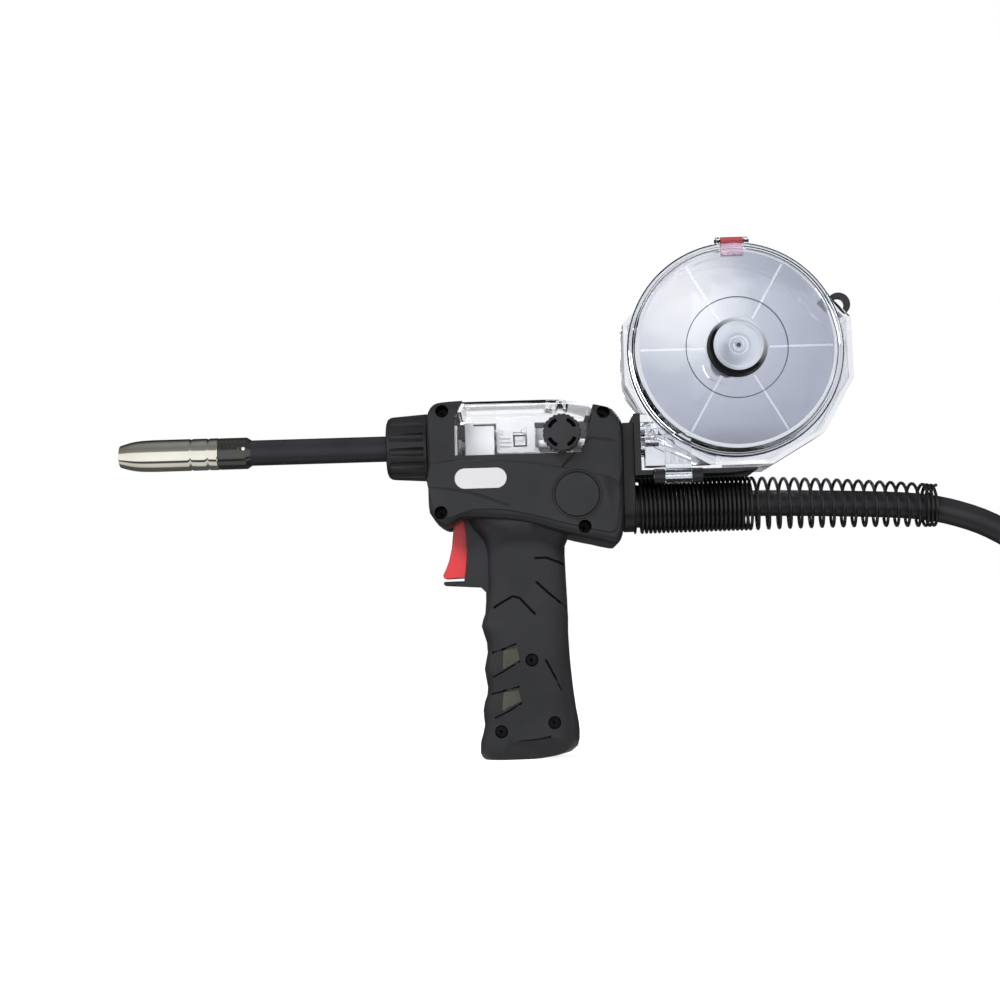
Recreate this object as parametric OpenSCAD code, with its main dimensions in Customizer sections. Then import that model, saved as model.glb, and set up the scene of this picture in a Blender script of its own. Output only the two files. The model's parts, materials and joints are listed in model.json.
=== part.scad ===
// MIG spool gun: a pistol-grip welding torch with its own wire drive, a clear
// canister for a 100 mm wire spool, and a gas and power lead with a central plug.
// X runs from the nozzle (-X) to the lead (+X), Z is up, and Y = 0 is the split
// plane of the housing. The origin is under the handle, on the surface it stands on.

/* [Barrel] */
// Height of the barrel axis above the foot of the handle
barrel_z = 172.3; // [168:0.1:178]
// Length of the barrel tube between the lock nut and the insulator collar
neck_len = 75.5; // [50:0.5:110]
// Outside diameter of the sleeve on the barrel
sleeve_d = 14.2; // [13:0.1:16]
// Outside diameter of the copper conductor inside the sleeve
conductor_d = 10; // [9:0.1:11]
// Bore of the conductor, which carries the wire liner and the gas
conductor_bore = 4.6; // [4:0.1:5.5]
// Outside diameter of the gas nozzle
nozzle_d = 17.8; // [17:0.1:20]
// Length of the gas nozzle
nozzle_len = 55.3; // [48:0.1:62]
// Diameter of the nozzle's open front end
nozzle_mouth_d = 11; // [10:0.1:13]
// Wall of the nozzle
nozzle_wall = 1.1; // [0.8:0.1:1.4]
// Length of the nozzle's rounded front
nozzle_taper = 13; // [9:0.5:18]
// Length of the insulator collar behind the nozzle
collar_len = 18.1; // [14:0.1:24]
// Diameter of the contact tip
tip_d = 6; // [5:0.1:6.5]
// Length of the contact tip
tip_len = 25; // [22:0.5:28]
// Hole through the contact tip for the welding wire
tip_bore = 1; // [0.8:0.1:1.3]
// How far the contact tip stands back from the nozzle's mouth
tip_recess = 2; // [1:0.1:5]

/* [Lock nut] */
// Length of the fluted lock nut
nut_len = 23; // [20:0.5:30]
// Diameter of the nut at its front
nut_front_d = 35; // [32:0.1:37]
// Diameter of the nut at its rear collar
nut_rear_d = 37.5; // [35:0.1:42]
// Number of flutes round the nut
nut_flutes = 14; // [10:1:18]
// Radius of each flute
flute_r = 2.6; // [2:0.1:3.2]

/* [Housing] */
// Distance from the origin forward to the front face
body_front = 51; // [50:0.1:54]
// Distance from the origin back to the rear face
body_rear = 55.5; // [54:0.1:60]
// Half of the width over the two housing halves
body_half = 28; // [26.5:0.1:31]
// Wall of the moulded housing
wall = 2.6; // [2:0.1:3.2]
// Rounding of the housing's long edges
edge_r = 6; // [4:0.1:7]
// Half of the handle's width
grip_half = 18; // [17:0.1:20]
// Height that the lower side panel stands proud of the flank
panel_rise = 1; // [0.6:0.1:1.6]
// Diameter of the counterbored screw holes
screw_hole_d = 7.2; // [6.6:0.1:8]
// Depth of the screw seats measured from the split plane
screw_seat = 9.5; // [9:0.1:13]

/* [Trigger] */
// Width of the trigger
trigger_w = 12.6; // [11:0.1:13.6]
// Gap on each side of the trigger in its slot
trigger_gap = 0.5; // [0.3:0.1:1]
// Diameter of the trigger's pivot pin
pin_d = 3; // [2.5:0.1:3.6]

/* [Feed unit] */
// Diameter of the grooved drive roll
roll_d = 20; // [18:0.5:21]
// Diameter of the pressure roll
press_d = 13; // [12:0.5:14]
// Width of both rolls
roll_w = 8; // [6:0.5:9]
// Diameter of the gear motor
motor_d = 28; // [25:0.5:29]
// Wall of the clear feed cover
cover_wall = 2; // [1.6:0.1:2.6]
// Gap between the feed cover and the window it fits
cover_gap = 0.5; // [0.4:0.1:0.8]
// Diameter of the cover's knob
knob_d = 20.6; // [18:0.1:21.5]
// Height of the cover's knob
knob_h = 8; // [6:0.1:10]

/* [Spool canister] */
// Distance of the spool axis behind the origin
can_x = 118.3; // [116:0.1:122]
// Height of the spool axis above the barrel axis
can_rise = 46.3; // [46:0.1:48]
// Outside radius of the canister's lid
can_r = 59; // [58:0.1:59.4]
// Outside radius of the twelve-sided body behind the lid, over its corners
shell_r = 64.8; // [64:0.1:65.4]
// Wall of the canister and its lid
can_wall = 2.4; // [1.8:0.1:2.8]
// Near side of the canister measured from the split plane
can_near = 30; // [29:0.1:33]
// Far side of the canister measured from the split plane
can_far = 28; // [27:0.1:32]
// Depth of the lid's skirt
lid_depth = 9; // [8:0.1:11]
// Radius of the lid's raised boss
lid_boss_r = 16.5; // [14:0.1:19]
// Radius of the hub that the wire spool turns on
hub_r = 7.9; // [7.5:0.05:8]
// Diameter of the shaft inside the hub
shaft_d = 8; // [6:0.1:9]

/* [Lead] */
// Outside diameter of the lead
lead_d = 14.5; // [13:0.1:15]
// Diameter of the strain relief spring's wire
spring_wire = 1.8; // [1.6:0.1:1.9]
// Mean radius of the spring at the gland
spring_r0 = 14.5; // [14.2:0.1:14.6]
// Mean radius of the spring at the end of its close-wound part
spring_r1 = 14.2; // [14:0.1:14.4]
// Mean radius of the spring at its free end
spring_r2 = 11; // [10.6:0.1:11.8]
// Number of close-wound turns at the gland
spring_close = 26; // [20:1:26]
// Number of open turns behind them
spring_open = 16; // [12:1:16]
// Number of close turns at the free end
spring_end = 3; // [2:1:3]
// Step of the close turns
pitch_close = 2.4; // [2.35:0.05:2.5]
// Step of the open turns
pitch_open = 5.9; // [5.7:0.05:6]
// Radius of the coiled lead's outermost turn
coil_r = 83; // [82.5:0.5:84]
// Step between neighbouring turns of the coiled lead
coil_step = 15.2; // [15.1:0.1:15.4]
// Diameter of the plug's coupling nut
plug_nut_d = 42; // [38:0.5:42.5]
// Diameter of the plug's centre pin
plug_pin_d = 12; // [11:0.1:13]

/* [Hidden] */
$fn = 64;

black = "#26272b";
soft_black = "#2f3034";
clear = [0.85, 0.88, 0.93, 0.4];
red = "#d8393c";
steel = "#b9bcc0";
brass = "#c9a44c";
copper = "#c07a4f";
white = "#e9eaec";

// ---- Fits
turn_fit = 0.04;
slide_fit = 0.03;
free_gap = 0.3;

// ---- Places along the barrel
nut_rear = -body_front - free_gap;
nut_front = nut_rear - nut_len;
collar_rear = nut_front - neck_len;
collar_front = collar_rear - collar_len;
nozzle_front = collar_front - nozzle_len;
nozzle_bore_r = nozzle_d / 2 - nozzle_wall;
tip_front = nozzle_front + tip_recess;
tip_rear = tip_front + tip_len;
block_front = -body_front + 4;
block_rear = block_front + 12;
conductor_front = collar_rear - 8;
conductor_rear = block_rear - 2;

// ---- Trigger
pivot_x = -35.5;
pivot_h = -40.5;
pivot_z = barrel_z + pivot_h;
trigger_boss_r = 3.8;
slot_half = trigger_w / 2 + trigger_gap;
block_half = slot_half + 2.2;
switch_z = pivot_z - 15.3;
switch_x = -23.4;
switch_half = 3.2;

// ---- Feed unit
wire_r = 0.5;
drive_x = 2;
drive_z = barrel_z - roll_d / 2 + 0.4;
press_z = barrel_z + wire_r + press_d / 2;
arm_x = -11;
arm_z = barrel_z + 6.4;
plate_y = roll_w / 2 + 1;
knob_x = 22;
knob_z = barrel_z + 2.1;
cover_y = body_half - 0.8;
cover_top_r = 273;
cover_top_x = -12;
cover_top_z = barrel_z + 23.4;
cover_low = barrel_z - 7.5;
far_top = barrel_z + 15.5;
tongue_at = [-29.4, 24];
tongue_half = 1.5;
peg_r = 0.9;
stud_r = 2.5;
stud_end = -7;

// ---- Round cap on the flank
cap_x = 29.4;
cap_z = barrel_z - 30.8;
cap_r = 12;

// ---- Canister
saddle_top = barrel_z + can_rise - 64.6;
// The drum stands on the saddle by whichever is larger, its corners or its lid's rim
drum_r = max(shell_r, can_r + 5.8);
can_z = saddle_top + drum_r - 0.2;
saddle_end = can_x + 9.7;
saddle_t = 2.6;
saddle_half = 22;
foot_half = 23;
plate_front = body_rear + 6;
plate_back = plate_front + 3.5;
lid_edge = -can_near + lid_depth;
shell_x = can_x + 2;
shell_y = lid_edge + 3;
lid_hinge_y = -can_near + 2.5;
lid_hinge_z = saddle_top - 4;
knuckle_r = 4;
tab_x = 84.2;
tab_w = 14;
latch_w = 12;
latch_y = -can_near + 6.4;
latch_z = can_z + can_r + 0.7;
latch_r = 2.3;

// ---- Lead
gland_x = plate_front;
spring_x = gland_x + 0.8;
spring_z0 = barrel_z - 36.2;
spring_bend = spring_x + 43;
spring_sag = 0.000285;
plug_r = plug_nut_d / 2 + 0.4;
coil_x = 369;
coil_turns = 5.5;
coil_rise = lead_d + 0.6;
coil_top = lead_d / 2 + 3 * coil_rise;

// ---- Outlines in the X-Z plane, heights measured from the barrel axis.
// Each row: place on the rim, then the step from the rim to the flat flank.
flank = [
  [-body_front, -34, 4, 2], [1.5 - body_front, -39.8, 4, 3],
  [5.3 - body_front, -43.8, 3, 4], [9.7 - body_front, -46, 1, 5],
  [-37.5, -44.8, -1, 5], [-33.5, -42, 0, 5], [-20, -42.3, 0, 5], [0, -44.8, 1, 5],
  [15, -49.3, 1, 5], [28, -53.1, 1, 5], [38, -55.4, 1, 5], [body_rear - 7.2, -57.9, -1, 5],
  [body_rear - 4.2, -57.1, -3, 4], [body_rear - 2.1, -53, -4, 3],
  [body_rear - 1, -46, -5, 1], [body_rear - 0.5, -36, -5, 0],
  [body_rear - 0.1, -18, -5, 0], [body_rear, -2, -5, 0], [body_rear - 0.2, 5.4, -5, -1],
  [body_rear - 1.2, 9.9, -4, -2], [body_rear - 3.8, 13.7, -3, -3],
  [body_rear - 8.2, 17, -1, -4], [34, 19.6, 0, -5], [15, 21.4, 0, -5],
  [-5, 22.4, 0, -5], [-22, 22.7, 0, -5], [-34, 22.6, 0, -5], [8.5 - body_front, 22.1, 1, -4],
  [4 - body_front, 20.9, 3, -3], [0.9 - body_front, 17, 4, -2],
  [-body_front, 10, 5, 0], [-body_front, -10, 5, 0]
];

// Lower side panel, with its crease along the top
panel = [
  [1.6 - body_front, -11.6], [1.6 - body_front, -32], [4.5 - body_front, -38.5],
  [9 - body_front, -41.4], [-36, -40], [-28, -37.4], [-10, -38], [6, -41.5],
  [20, -45.5], [36, -49.6], [body_rear - 8.5, -52], [body_rear - 5.6, -50],
  [body_rear - 4, -42], [body_rear - 3.4, -24.5], [40, -20], [20, -15.6], [2, -12.4],
  [-18, -11.2]
];

// Handle sections: height, front, rear and half width of the handle
grip_rows = [
  [0, -24.6, 7.8, grip_half - 2.4], [1.2, -26.2, 16, grip_half - 1],
  [3.2, -27, 23, grip_half + 0.4], [6, -27, 26.4, grip_half + 1],
  [9.5, -26.7, 27.4, grip_half + 1.2], [14, -25.3, 27.6, grip_half + 0.8],
  [18.5, -24.3, 27.3, grip_half + 0.4], [22.5, -24.7, 26.7, grip_half + 0.1],
  [26.5, -24.9, 26, grip_half], [31, -24, 25.5, grip_half], [35, -22.5, 25, grip_half],
  [39, -22.1, 24.6, grip_half], [44, -22.9, 24.2, grip_half], [49, -23.6, 23.8, grip_half],
  [54, -22.6, 23.5, grip_half], [58, -21.7, 23.3, grip_half],
  [63.5, -22, 23.1, grip_half], [68, -23.4, 23, grip_half - 0.1],
  [72.5, -24.6, 23.1, grip_half - 0.2], [76, -23.7, 23.2, grip_half - 0.3],
  [79.5, -22.4, 23.1, grip_half - 0.4], [86, -21.8, 23, grip_half - 0.5],
  [96, -21.6, 22.7, grip_half - 0.5]
];
grip_top = [
  [-62, -21.6, 22.4, grip_half - 0.4], [-57, -22, 22.6, grip_half + 0.4],
  [-53, -23.4, 24.4, grip_half + 2], [-49.5, -26, 28, grip_half + 4.2],
  [-46, -29, 32, grip_half + 6.4], [-38, -33, 36, grip_half + 6.6]
];

// Screw places, heights from the barrel axis for the body and from the foot for the handle
screws = [[8.6 - body_front, barrel_z + 16.5], [6.8 - body_front, barrel_z - 38.6],
  [33, barrel_z - 48.2], [body_rear - 10.6, barrel_z + 13.6], [2.4, 53.3], [-15.1, 15.2],
  [13.7, 19.3]];

// Points that the lead hangs through, from the gland to the coil
lead_points = [
  [57, spring_z0], [90, spring_z0], [123, spring_z0], [145, 135.6], [165, 134.9],
  [185, 134], [203, 133], [216, 131.9], [229, 129.9], [241, 126.7], [253, 122.3],
  [264, 116.6], [275, 109.5], [285, 100.3], [293.4, 88.9], [300.8, 77.8], [309.4, 69],
  [319.4, 61.9], [330.5, 56.8], [342.2, 53.7], [354.4, coil_top], [coil_x, coil_top]
];

// ---- Helpers
function catmull(a, b, c, d, t) =
  0.5 * (2 * b + (c - a) * t + (2 * a - 5 * b + 4 * c - d) * t * t
  + (3 * b - a - 3 * c + d) * t * t * t);

// A closed outline rounded through its corner points
function smooth(p, k = 3) = let (n = len(p))
  [for (i = [0:n - 1], j = [0:k - 1])
    catmull(p[(i + n - 1) % n], p[i], p[(i + 1) % n], p[(i + 2) % n], j / k)];

function unit(v) = v / norm(v);

// A closed skin over rings of equal count
module skin(rings) {
  n = len(rings[0]);
  m = len(rings);
  polyhedron(
    points = [for (r = rings) each r],
    faces = concat(
      [[for (j = [0:n - 1]) j]],
      [[for (j = [0:n - 1]) m * n - 1 - j]],
      [for (i = [0:m - 2], j = [0:n - 1])
        [i * n + j, (i + 1) * n + j, (i + 1) * n + (j + 1) % n]],
      [for (i = [0:m - 2], j = [0:n - 1])
        [i * n + j, (i + 1) * n + (j + 1) % n, i * n + (j + 1) % n]]));
}

// A ring of points round a centre, square to the way t, with u as its start
function ring(c, t, u, r, sides) = let (v = cross(t, u))
  [for (k = [0:sides - 1]) c + r * (cos(360 * k / sides) * u + sin(360 * k / sides) * v)];

function way(p, i) = unit(p[min(i + 1, len(p) - 1)] - p[max(i - 1, 0)]);

// A round tube swept through points, with its rings turned to face up
function tube_rings(p, r, sides) =
  [for (i = [0:len(p) - 1]) let (t = way(p, i), s = unit(cross([0, 0, 1], t)))
    ring(p[i], t, cross(t, s), r, sides)];

// An outline drawn in X-Z becomes a slab from y0 to y1
module slab(y0, y1) {
  translate([0, y1, 0]) rotate([90, 0, 0]) linear_extrude(y1 - y0) children();
}

// A cylinder along Y from y0 to y1
module pin_y(x, z, r, y0, y1, sides = $fn) {
  translate([x, y1, z]) rotate([90, 0, 0]) cylinder(r = r, h = y1 - y0, $fn = sides);
}

// A cylinder along X from x0 to x1
module pin_x(y, z, r, x0, x1) {
  translate([x0, y, z]) rotate([0, 90, 0]) cylinder(r = r, h = x1 - x0);
}

// A profile of axial place and radius, turned round an axis along X
module turned_x(p, z = barrel_z, y = 0) {
  translate([0, y, z]) rotate([0, 90, 0]) rotate_extrude()
    polygon([for (q = p) [q[1], q[0]]]);
}

module block(x0, x1, y0, y1, z0, z1) {
  translate([x0, y0, z0]) cube([x1 - x0, y1 - y0, z1 - z0]);
}

// ---- Housing
arc_steps = [0, 25, 45, 65, 90];

function flank_ring(y, inset) =
  [for (q = smooth(flank, 2)) [q[0] + q[2] * inset, y, barrel_z + q[1] + q[3] * inset]];

module body_form() {
  skin(concat([flank_ring(0, 0)],
    [for (a = arc_steps) flank_ring(-(body_half - edge_r) - edge_r * sin(a), 1 - cos(a))]));
}

function panel_ring(y, shrink) = let (c = [2, -30])
  [for (q = smooth(panel, 2)) let (d = q - c) [c[0] + d[0] * shrink, y,
    barrel_z + c[1] + d[1] * shrink]];

module panel_form() {
  skin([panel_ring(-body_half + 3, 1), panel_ring(-body_half, 1),
    panel_ring(-body_half - panel_rise * 0.6, 0.995),
    panel_ring(-body_half - panel_rise, 0.975)]);
}

grip_sides = 14;

function grip_ring(z, x0, x1, w, sides = grip_sides) =
  [for (k = [0:sides]) let (a = 180 + 180 * k / sides, c = cos(a),
      s = k % sides == 0 ? 0 : abs(sin(a)))
    [(x0 + x1) / 2 + (x1 - x0) / 2 * sign(c) * pow(abs(c), 0.8), -w * pow(s, 0.72), z]];

module grip_form() {
  skin(concat([for (r = grip_rows) grip_ring(r[0], r[1], r[2], r[3])],
    [for (r = grip_top) grip_ring(barrel_z + r[0], r[1], r[2], r[3])]));
}

// The hollow inside the handle runs straight on up into the body
module grip_hollow() {
  skin([for (r = [[8, -24, 25], [24, -20.6, 24], [56, -19, 21], [97, -19, 20.4]])
      grip_ring(r[0], r[1], r[2], grip_half - wall, 8),
    grip_ring(barrel_z - 36, -19, 20, grip_half - wall, 8)]);
}

module body_hollow() {
  slab(-body_half + wall, 0) offset(delta = -wall - 1)
    polygon([for (q = flank) [q[0], q[1] + barrel_z]]);
}

// How far the handle's side stands out at a place along X, for a half width w
function side_y(x, w) = -w * pow(1 - pow(min(abs(x - 0.5) / 22.2, 0.99), 2.5), 0.36);

// A narrow groove through a row of points
module groove(p, r) {
  for (i = [1:len(p) - 1]) hull() {
    translate(p[i - 1]) sphere(r = r, $fn = 6);
    translate(p[i]) sphere(r = r, $fn = 6);
  }
}

// A groove that follows the handle's side through points of X and height
module side_groove(p, w = grip_half - 0.5) {
  groove([for (q = p) [q[0], side_y(q[0], w), q[1]]], 0.8);
}

// A groove in the flat flank
module flank_groove(p, y = body_half) {
  groove([for (q = p) [q[0], -y, q[1]]], 0.7);
}

// A sloping pocket beside each of the two lower finger hollows
module finger_pocket(p) {
  slab(-grip_half - 4, -grip_half + 1.5) polygon(p);
}

module handle_grooves() {
  side_groove([[5.7, 108.3], [11.8, 108.5], [16.9, 106.6], [21.6, 104.8]]);
  side_groove([[6.2, 95.3], [12, 89.7], [17.9, 84.6], [21.8, 81.2]]);
  side_groove([[-17.2, 82.2], [-15, 83.6], [-7, 88], [-3.2, 86.9], [4.8, 78]]);
  side_groove([[10, 53], [14.1, 44.7], [18.1, 36.4]], grip_half);
  side_groove([[-18.8, 57.6], [-12.7, 59.6], [-6.1, 62.2]]);
  side_groove([[-18.9, 44.7], [-13.8, 47.2], [-4.2, 52.9]]);
  side_groove([[-20, 35.5], [-13.3, 37], [-5, 39.2]]);
  side_groove([[-18.6, 22.6], [-12, 25.6], [-4, 30.2]]);
  side_groove([[-5.1, 9.9], [10.4, 11.8], [20.5, 13.4]], grip_half + 1);
  finger_pocket([[-12.7, 58.3], [-5.7, 61], [-4.2, 53.4], [-13.8, 48.5]]);
  finger_pocket([[-13.3, 36], [-5.5, 38.2], [-4, 31.6], [-15.3, 26.1]]);
}

module flank_grooves() {
  p = body_half + panel_rise;
  flank_groove([[-49.6, 147.2], [-38.8, 146.1], [-28.3, 144.1], [-16.8, 140.1], [-7.3, 136.5]], p);
  flank_groove([[22, 156.6], [28.2, 163.4], [34.1, 169.7], [37.3, 171.9], [45.7, 170.9],
    [50, 169.8]]);
}

module trigger_block() {
  slab(-block_half, 0) polygon([[-33.4, barrel_z - 75.8], [-32.2, barrel_z - 68],
    [-31.3, barrel_z - 58], [-31.6, barrel_z - 50], [-33, barrel_z - 40],
    [-14, barrel_z - 40], [-14, barrel_z - 75.8]]);
}

module finger_guard() {
  g = barrel_z - 75;
  hull() {
    translate([-43.6, 0, g - 1]) rotate([90, 0, 0]) cylinder(r = 1, h = 6.4, $fn = 24);
    translate([-37, 0, g - 1.2]) rotate([90, 0, 0]) cylinder(r = 1.2, h = block_half, $fn = 24);
    translate([-18, 0, g - 1.9]) rotate([90, 0, 0]) cylinder(r = 1.9, h = block_half, $fn = 24);
  }
  hull() {
    translate([-24, 0, g - 3]) rotate([90, 0, 0]) cylinder(r = 0.6, h = block_half, $fn = 16);
    translate([-19, 0, g - 8]) rotate([90, 0, 0]) cylinder(r = 0.6, h = block_half, $fn = 16);
    translate([-19, 0, g - 3]) rotate([90, 0, 0]) cylinder(r = 0.6, h = block_half, $fn = 16);
  }
}

module cover_outline(gap) {
  intersection() {
    offset(delta = gap) polygon([[-35.4, cover_low], [32.4, cover_low], [38.6, barrel_z + 14],
      [40.6, barrel_z + 30], [-27.4, barrel_z + 30], [-35.2, barrel_z + 13]]);
    translate([cover_top_x, cover_top_z - cover_top_r]) circle(r = cover_top_r + gap, $fn = 240);
  }
}

// Everything that is cut from both halves once they are whole
module shared_cuts() {
  pin_x(0, barrel_z, 12.3, -body_front - 1, 4 - body_front);
  pin_x(0, barrel_z, 8, body_rear - 8, body_rear + 1);
  pin_x(0, spring_z0, 10.3, body_rear - 8, body_rear + 1);
  hull() {
    block(-34.8, -23.6, -slot_half, slot_half, barrel_z - 74, barrel_z - 60);
    block(-34.8, -23.6, -slot_half, slot_half, barrel_z - 46, barrel_z - 42);
  }
  hull() {
    pin_y(pivot_x, pivot_z, trigger_boss_r + 0.6, -slot_half, slot_half);
    block(-41.5, -23.6, -slot_half, slot_half, barrel_z - 52, barrel_z - 42);
  }
  block(switch_x - 1, switch_x + 8, -switch_half - free_gap, switch_half + free_gap,
    switch_z - 10, switch_z + 8 + free_gap);
}

module housing_half() {
  $fn = 18;
  difference() {
    union() {
      difference() {
        union() {
          body_form();
          grip_form();
          panel_form();
        }
        body_hollow();
        grip_hollow();
      }
      trigger_block();
      finger_guard();
      intersection() {
        union() {
          body_form();
          grip_form();
        }
        for (s = screws) pin_y(s[0], s[1], screw_hole_d / 2 + 1.8, -body_half, 0);
      }
      pin_y(cap_x, cap_z, cap_r + 2.6, -body_half - panel_rise - 0.2, -body_half + 2, 48);
    }
    shared_cuts();
    handle_grooves();
    flank_grooves();
    pin_y(pivot_x, pivot_z, pin_d / 2 + slide_fit, -block_half - 4, 1);
  }
}

module left_housing() {
  $fn = 18;
  color(black) difference() {
    housing_half();
    slab(-body_half - 5, 1) cover_outline(cover_gap);
    for (s = screws) {
      pin_y(s[0], s[1], screw_hole_d / 2, -body_half - 9, -screw_seat);
      pin_y(s[0], s[1], 1.6, -screw_seat - 1, 1);
    }
    slab(-body_half - panel_rise - 1, -body_half - panel_rise + 0.6) translate([cap_x, cap_z])
      difference() {
        circle(r = cap_r + 1.7, $fn = 48);
        circle(r = cap_r + 1.1, $fn = 48);
      }
    pin_y(cap_x, cap_z, cap_r + 0.5, -body_half - panel_rise - 1, -body_half - panel_rise + 1.2, 48);
  }
}

module right_housing() {
  $fn = 18;
  color(black) difference() {
    mirror([0, 1, 0]) housing_half();
    slab(-1, body_half + 5) intersection() {
      cover_outline(cover_gap);
      translate([-2 * body_front, far_top]) square([4 * body_front, body_front]);
    }
    for (s = screws) pin_y(s[0], s[1], 1.6, -1, screw_tip + 3);
    for (x = tongue_at) pin_y(x, far_top - 2, peg_r + turn_fit, 20, body_half + 1);
  }
}

screw_tip = screw_seat + 2.5;

module housing_screws() {
  color(steel) for (s = screws) {
    pin_y(s[0], s[1], 3, -screw_seat - 2.2, -screw_seat);
    pin_y(s[0], s[1], 1.5, -screw_seat - 0.5, screw_tip);
  }
}

module label_plate() {
  label_y = -body_half - panel_rise;
  color(white) slab(label_y - 0.4, label_y) translate([-22.3, barrel_z - 20.7]) union() {
    square([17, 11], center = true);
    for (s = [-1, 1]) translate([8.5 * s, 0]) circle(r = 5.5);
  }
}

module side_cap() {
  y = -body_half - panel_rise;
  color(soft_black) translate([cap_x, y + 1.2, cap_z]) rotate([90, 0, 0]) rotate_extrude()
    polygon([[0, 0], [cap_r, 0], [cap_r, 1], [cap_r - 0.4, 1.4], [0, 1.4]]);
}

// ---- Trigger and switch
module trigger() {
  color(red) difference() {
    union() {
      slab(-trigger_w / 2, trigger_w / 2) polygon([[-38.2, barrel_z - 43.5],
        [-39, barrel_z - 50], [-39.8, barrel_z - 57], [-41.4, barrel_z - 63.5],
        [-43.6, barrel_z - 69], [-44.9, barrel_z - 71.4], [-44.6, barrel_z - 72.8],
        [-43, barrel_z - 73.4], [-30, barrel_z - 73], [-29.4, barrel_z - 58],
        [-30.4, barrel_z - 50], [-31.9, barrel_z - 41.5]]);
      pin_y(pivot_x, pivot_z, trigger_boss_r, -trigger_w / 2, trigger_w / 2);
    }
    pin_y(pivot_x, pivot_z, pin_d / 2 + turn_fit, -20, 20);
    slab(-20, 20) translate([-31.2, barrel_z - 68]) square([4, 10]);
  }
}

module trigger_pin() {
  color(steel) pin_y(pivot_x, pivot_z, pin_d / 2, -block_half - 3, block_half + 3);
}

module micro_switch() {
  color(soft_black) difference() {
    block(switch_x, switch_x + 8, -switch_half, switch_half, switch_z - 10, switch_z + 8);
    pin_x(0, switch_z, 1.2 + slide_fit, switch_x - 1, switch_x + 5);
    for (z = [switch_z - 7.6, switch_z + 5.6]) pin_y(switch_x + 4, z, 1, -4, 4);
  }
}

module switch_plunger() {
  color(red) pin_x(0, switch_z, 1.2, -29.3 + free_gap, switch_x + 2.2);
}

// ---- Barrel
module neck_nut() {
  r0 = nut_front_d / 2;
  r1 = nut_rear_d / 2;
  color(black) difference() {
    turned_x([[nut_front, sleeve_d / 2 + free_gap], [nut_front, r0 - 3.4],
      [nut_front + 0.8, r0 - 1.4], [nut_front + 2.4, r0 - 0.3], [nut_front + 4, r0],
      [nut_rear - 0.5, r1],
      [nut_rear, r1 - 0.5], [nut_rear, 11], [nut_rear - 9, 11],
      [nut_rear - 9, sleeve_d / 2 + free_gap]]);
    for (k = [0:nut_flutes - 1]) rotate_about_barrel(360 * k / nut_flutes)
      translate([nut_front + 2.2, 0, barrel_z + r0 + flute_r - 1.1]) rotate([0, 90, 0])
        cylinder(r = flute_r, h = nut_len - 4.2, $fn = 24);
  }
}

module rotate_about_barrel(a) {
  translate([0, 0, barrel_z]) rotate([a, 0, 0]) translate([0, 0, -barrel_z]) children();
}

module neck_tube() {
  color(black) turned_x([[collar_rear, conductor_d / 2 + slide_fit],
    [collar_rear, sleeve_d / 2], [nut_rear - 10, sleeve_d / 2],
    [nut_rear - 10, conductor_d / 2 + slide_fit]]);
}

module neck_conductor() {
  color(copper) turned_x([[conductor_front, conductor_bore / 2],
    [conductor_front, conductor_d / 2], [conductor_rear, conductor_d / 2],
    [conductor_rear, conductor_bore / 2]]);
}

insulator_front = collar_front - 16;
diffuser_rear = conductor_front - 0.2;

module nozzle_insulator() {
  r = conductor_d / 2 + slide_fit;
  c = nozzle_d / 2 - 0.1;
  s = nozzle_bore_r - slide_fit;
  color(black) difference() {
    turned_x([[insulator_front, r], [insulator_front, s - 0.6],
      [insulator_front + 0.6, s], [collar_front, s], [collar_front, c - 0.5],
      [collar_front + 0.5, c], [collar_rear - 2.6, c], [collar_rear, sleeve_d / 2],
      [collar_rear, r]]);
    pin_y(collar_front + 11.4, barrel_z + 2, 0.8, -nozzle_d, -nozzle_d / 2 + 1.2);
  }
}

module gas_diffuser() {
  r = conductor_d / 2;
  color(brass) difference() {
    turned_x([[diffuser_rear, conductor_bore / 2], [diffuser_rear, r],
      [insulator_front - 0.2, r], [insulator_front - 0.8, r + 1.2],
      [insulator_front - 5, r + 1.2], [insulator_front - 6, r], [tip_rear - 5, r - 0.4],
      [tip_rear - 6, r - 1], [tip_rear - 6, tip_d / 2 - 0.6 + slide_fit],
      [tip_rear, tip_d / 2 - 0.6 + slide_fit], [tip_rear, conductor_bore / 2]]);
    for (k = [0:5]) rotate_about_barrel(60 * k)
      translate([tip_rear + 2.2, 0, barrel_z]) cylinder(r = 0.9, h = 12, $fn = 24);
  }
}

module contact_tip() {
  r = tip_d / 2;
  color(copper) difference() {
    turned_x([[tip_front, tip_bore / 2], [tip_front, r - 1.4], [tip_front + 5, r],
      [tip_rear - 6.2, r], [tip_rear - 6.2, r - 0.6], [tip_rear, r - 0.6],
      [tip_rear, tip_bore / 2 + 0.8], [tip_rear - 4, tip_bore / 2]]);
    for (s = [-1, 1]) translate([tip_front + 6, s * (r - 0.5) - (s < 0 ? 2 : 0),
      barrel_z - 4]) cube([6, 2, 8]);
  }
}

groove_at = [collar_front - 15.4, collar_front - 5.9];

module nozzle() {
  r = nozzle_d / 2;
  m = nozzle_mouth_d / 2;
  b = nozzle_bore_r;
  f = nozzle_front;
  t = nozzle_taper;
  groove = [for (g = groove_at) each [[g - 0.9, r], [g, r - 0.45], [g + 0.9, r]]];
  color("#cfc6ab") turned_x(concat(
    [[f, m - 0.8], [f, m - 0.2], [f + 0.3, m]],
    [for (k = [1:6]) let (u = k / 6) [f + 0.3 + (t - 0.3) * u, m + (r - m) * sin(90 * pow(u, 0.9))]],
    groove,
    [[collar_front - 0.6, r], [collar_front, r - 0.4], [collar_front, b], [f + t + 3, b],
      [f + t * 0.5, b - 0.9], [f + 4, m - 0.8]]));
}

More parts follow.
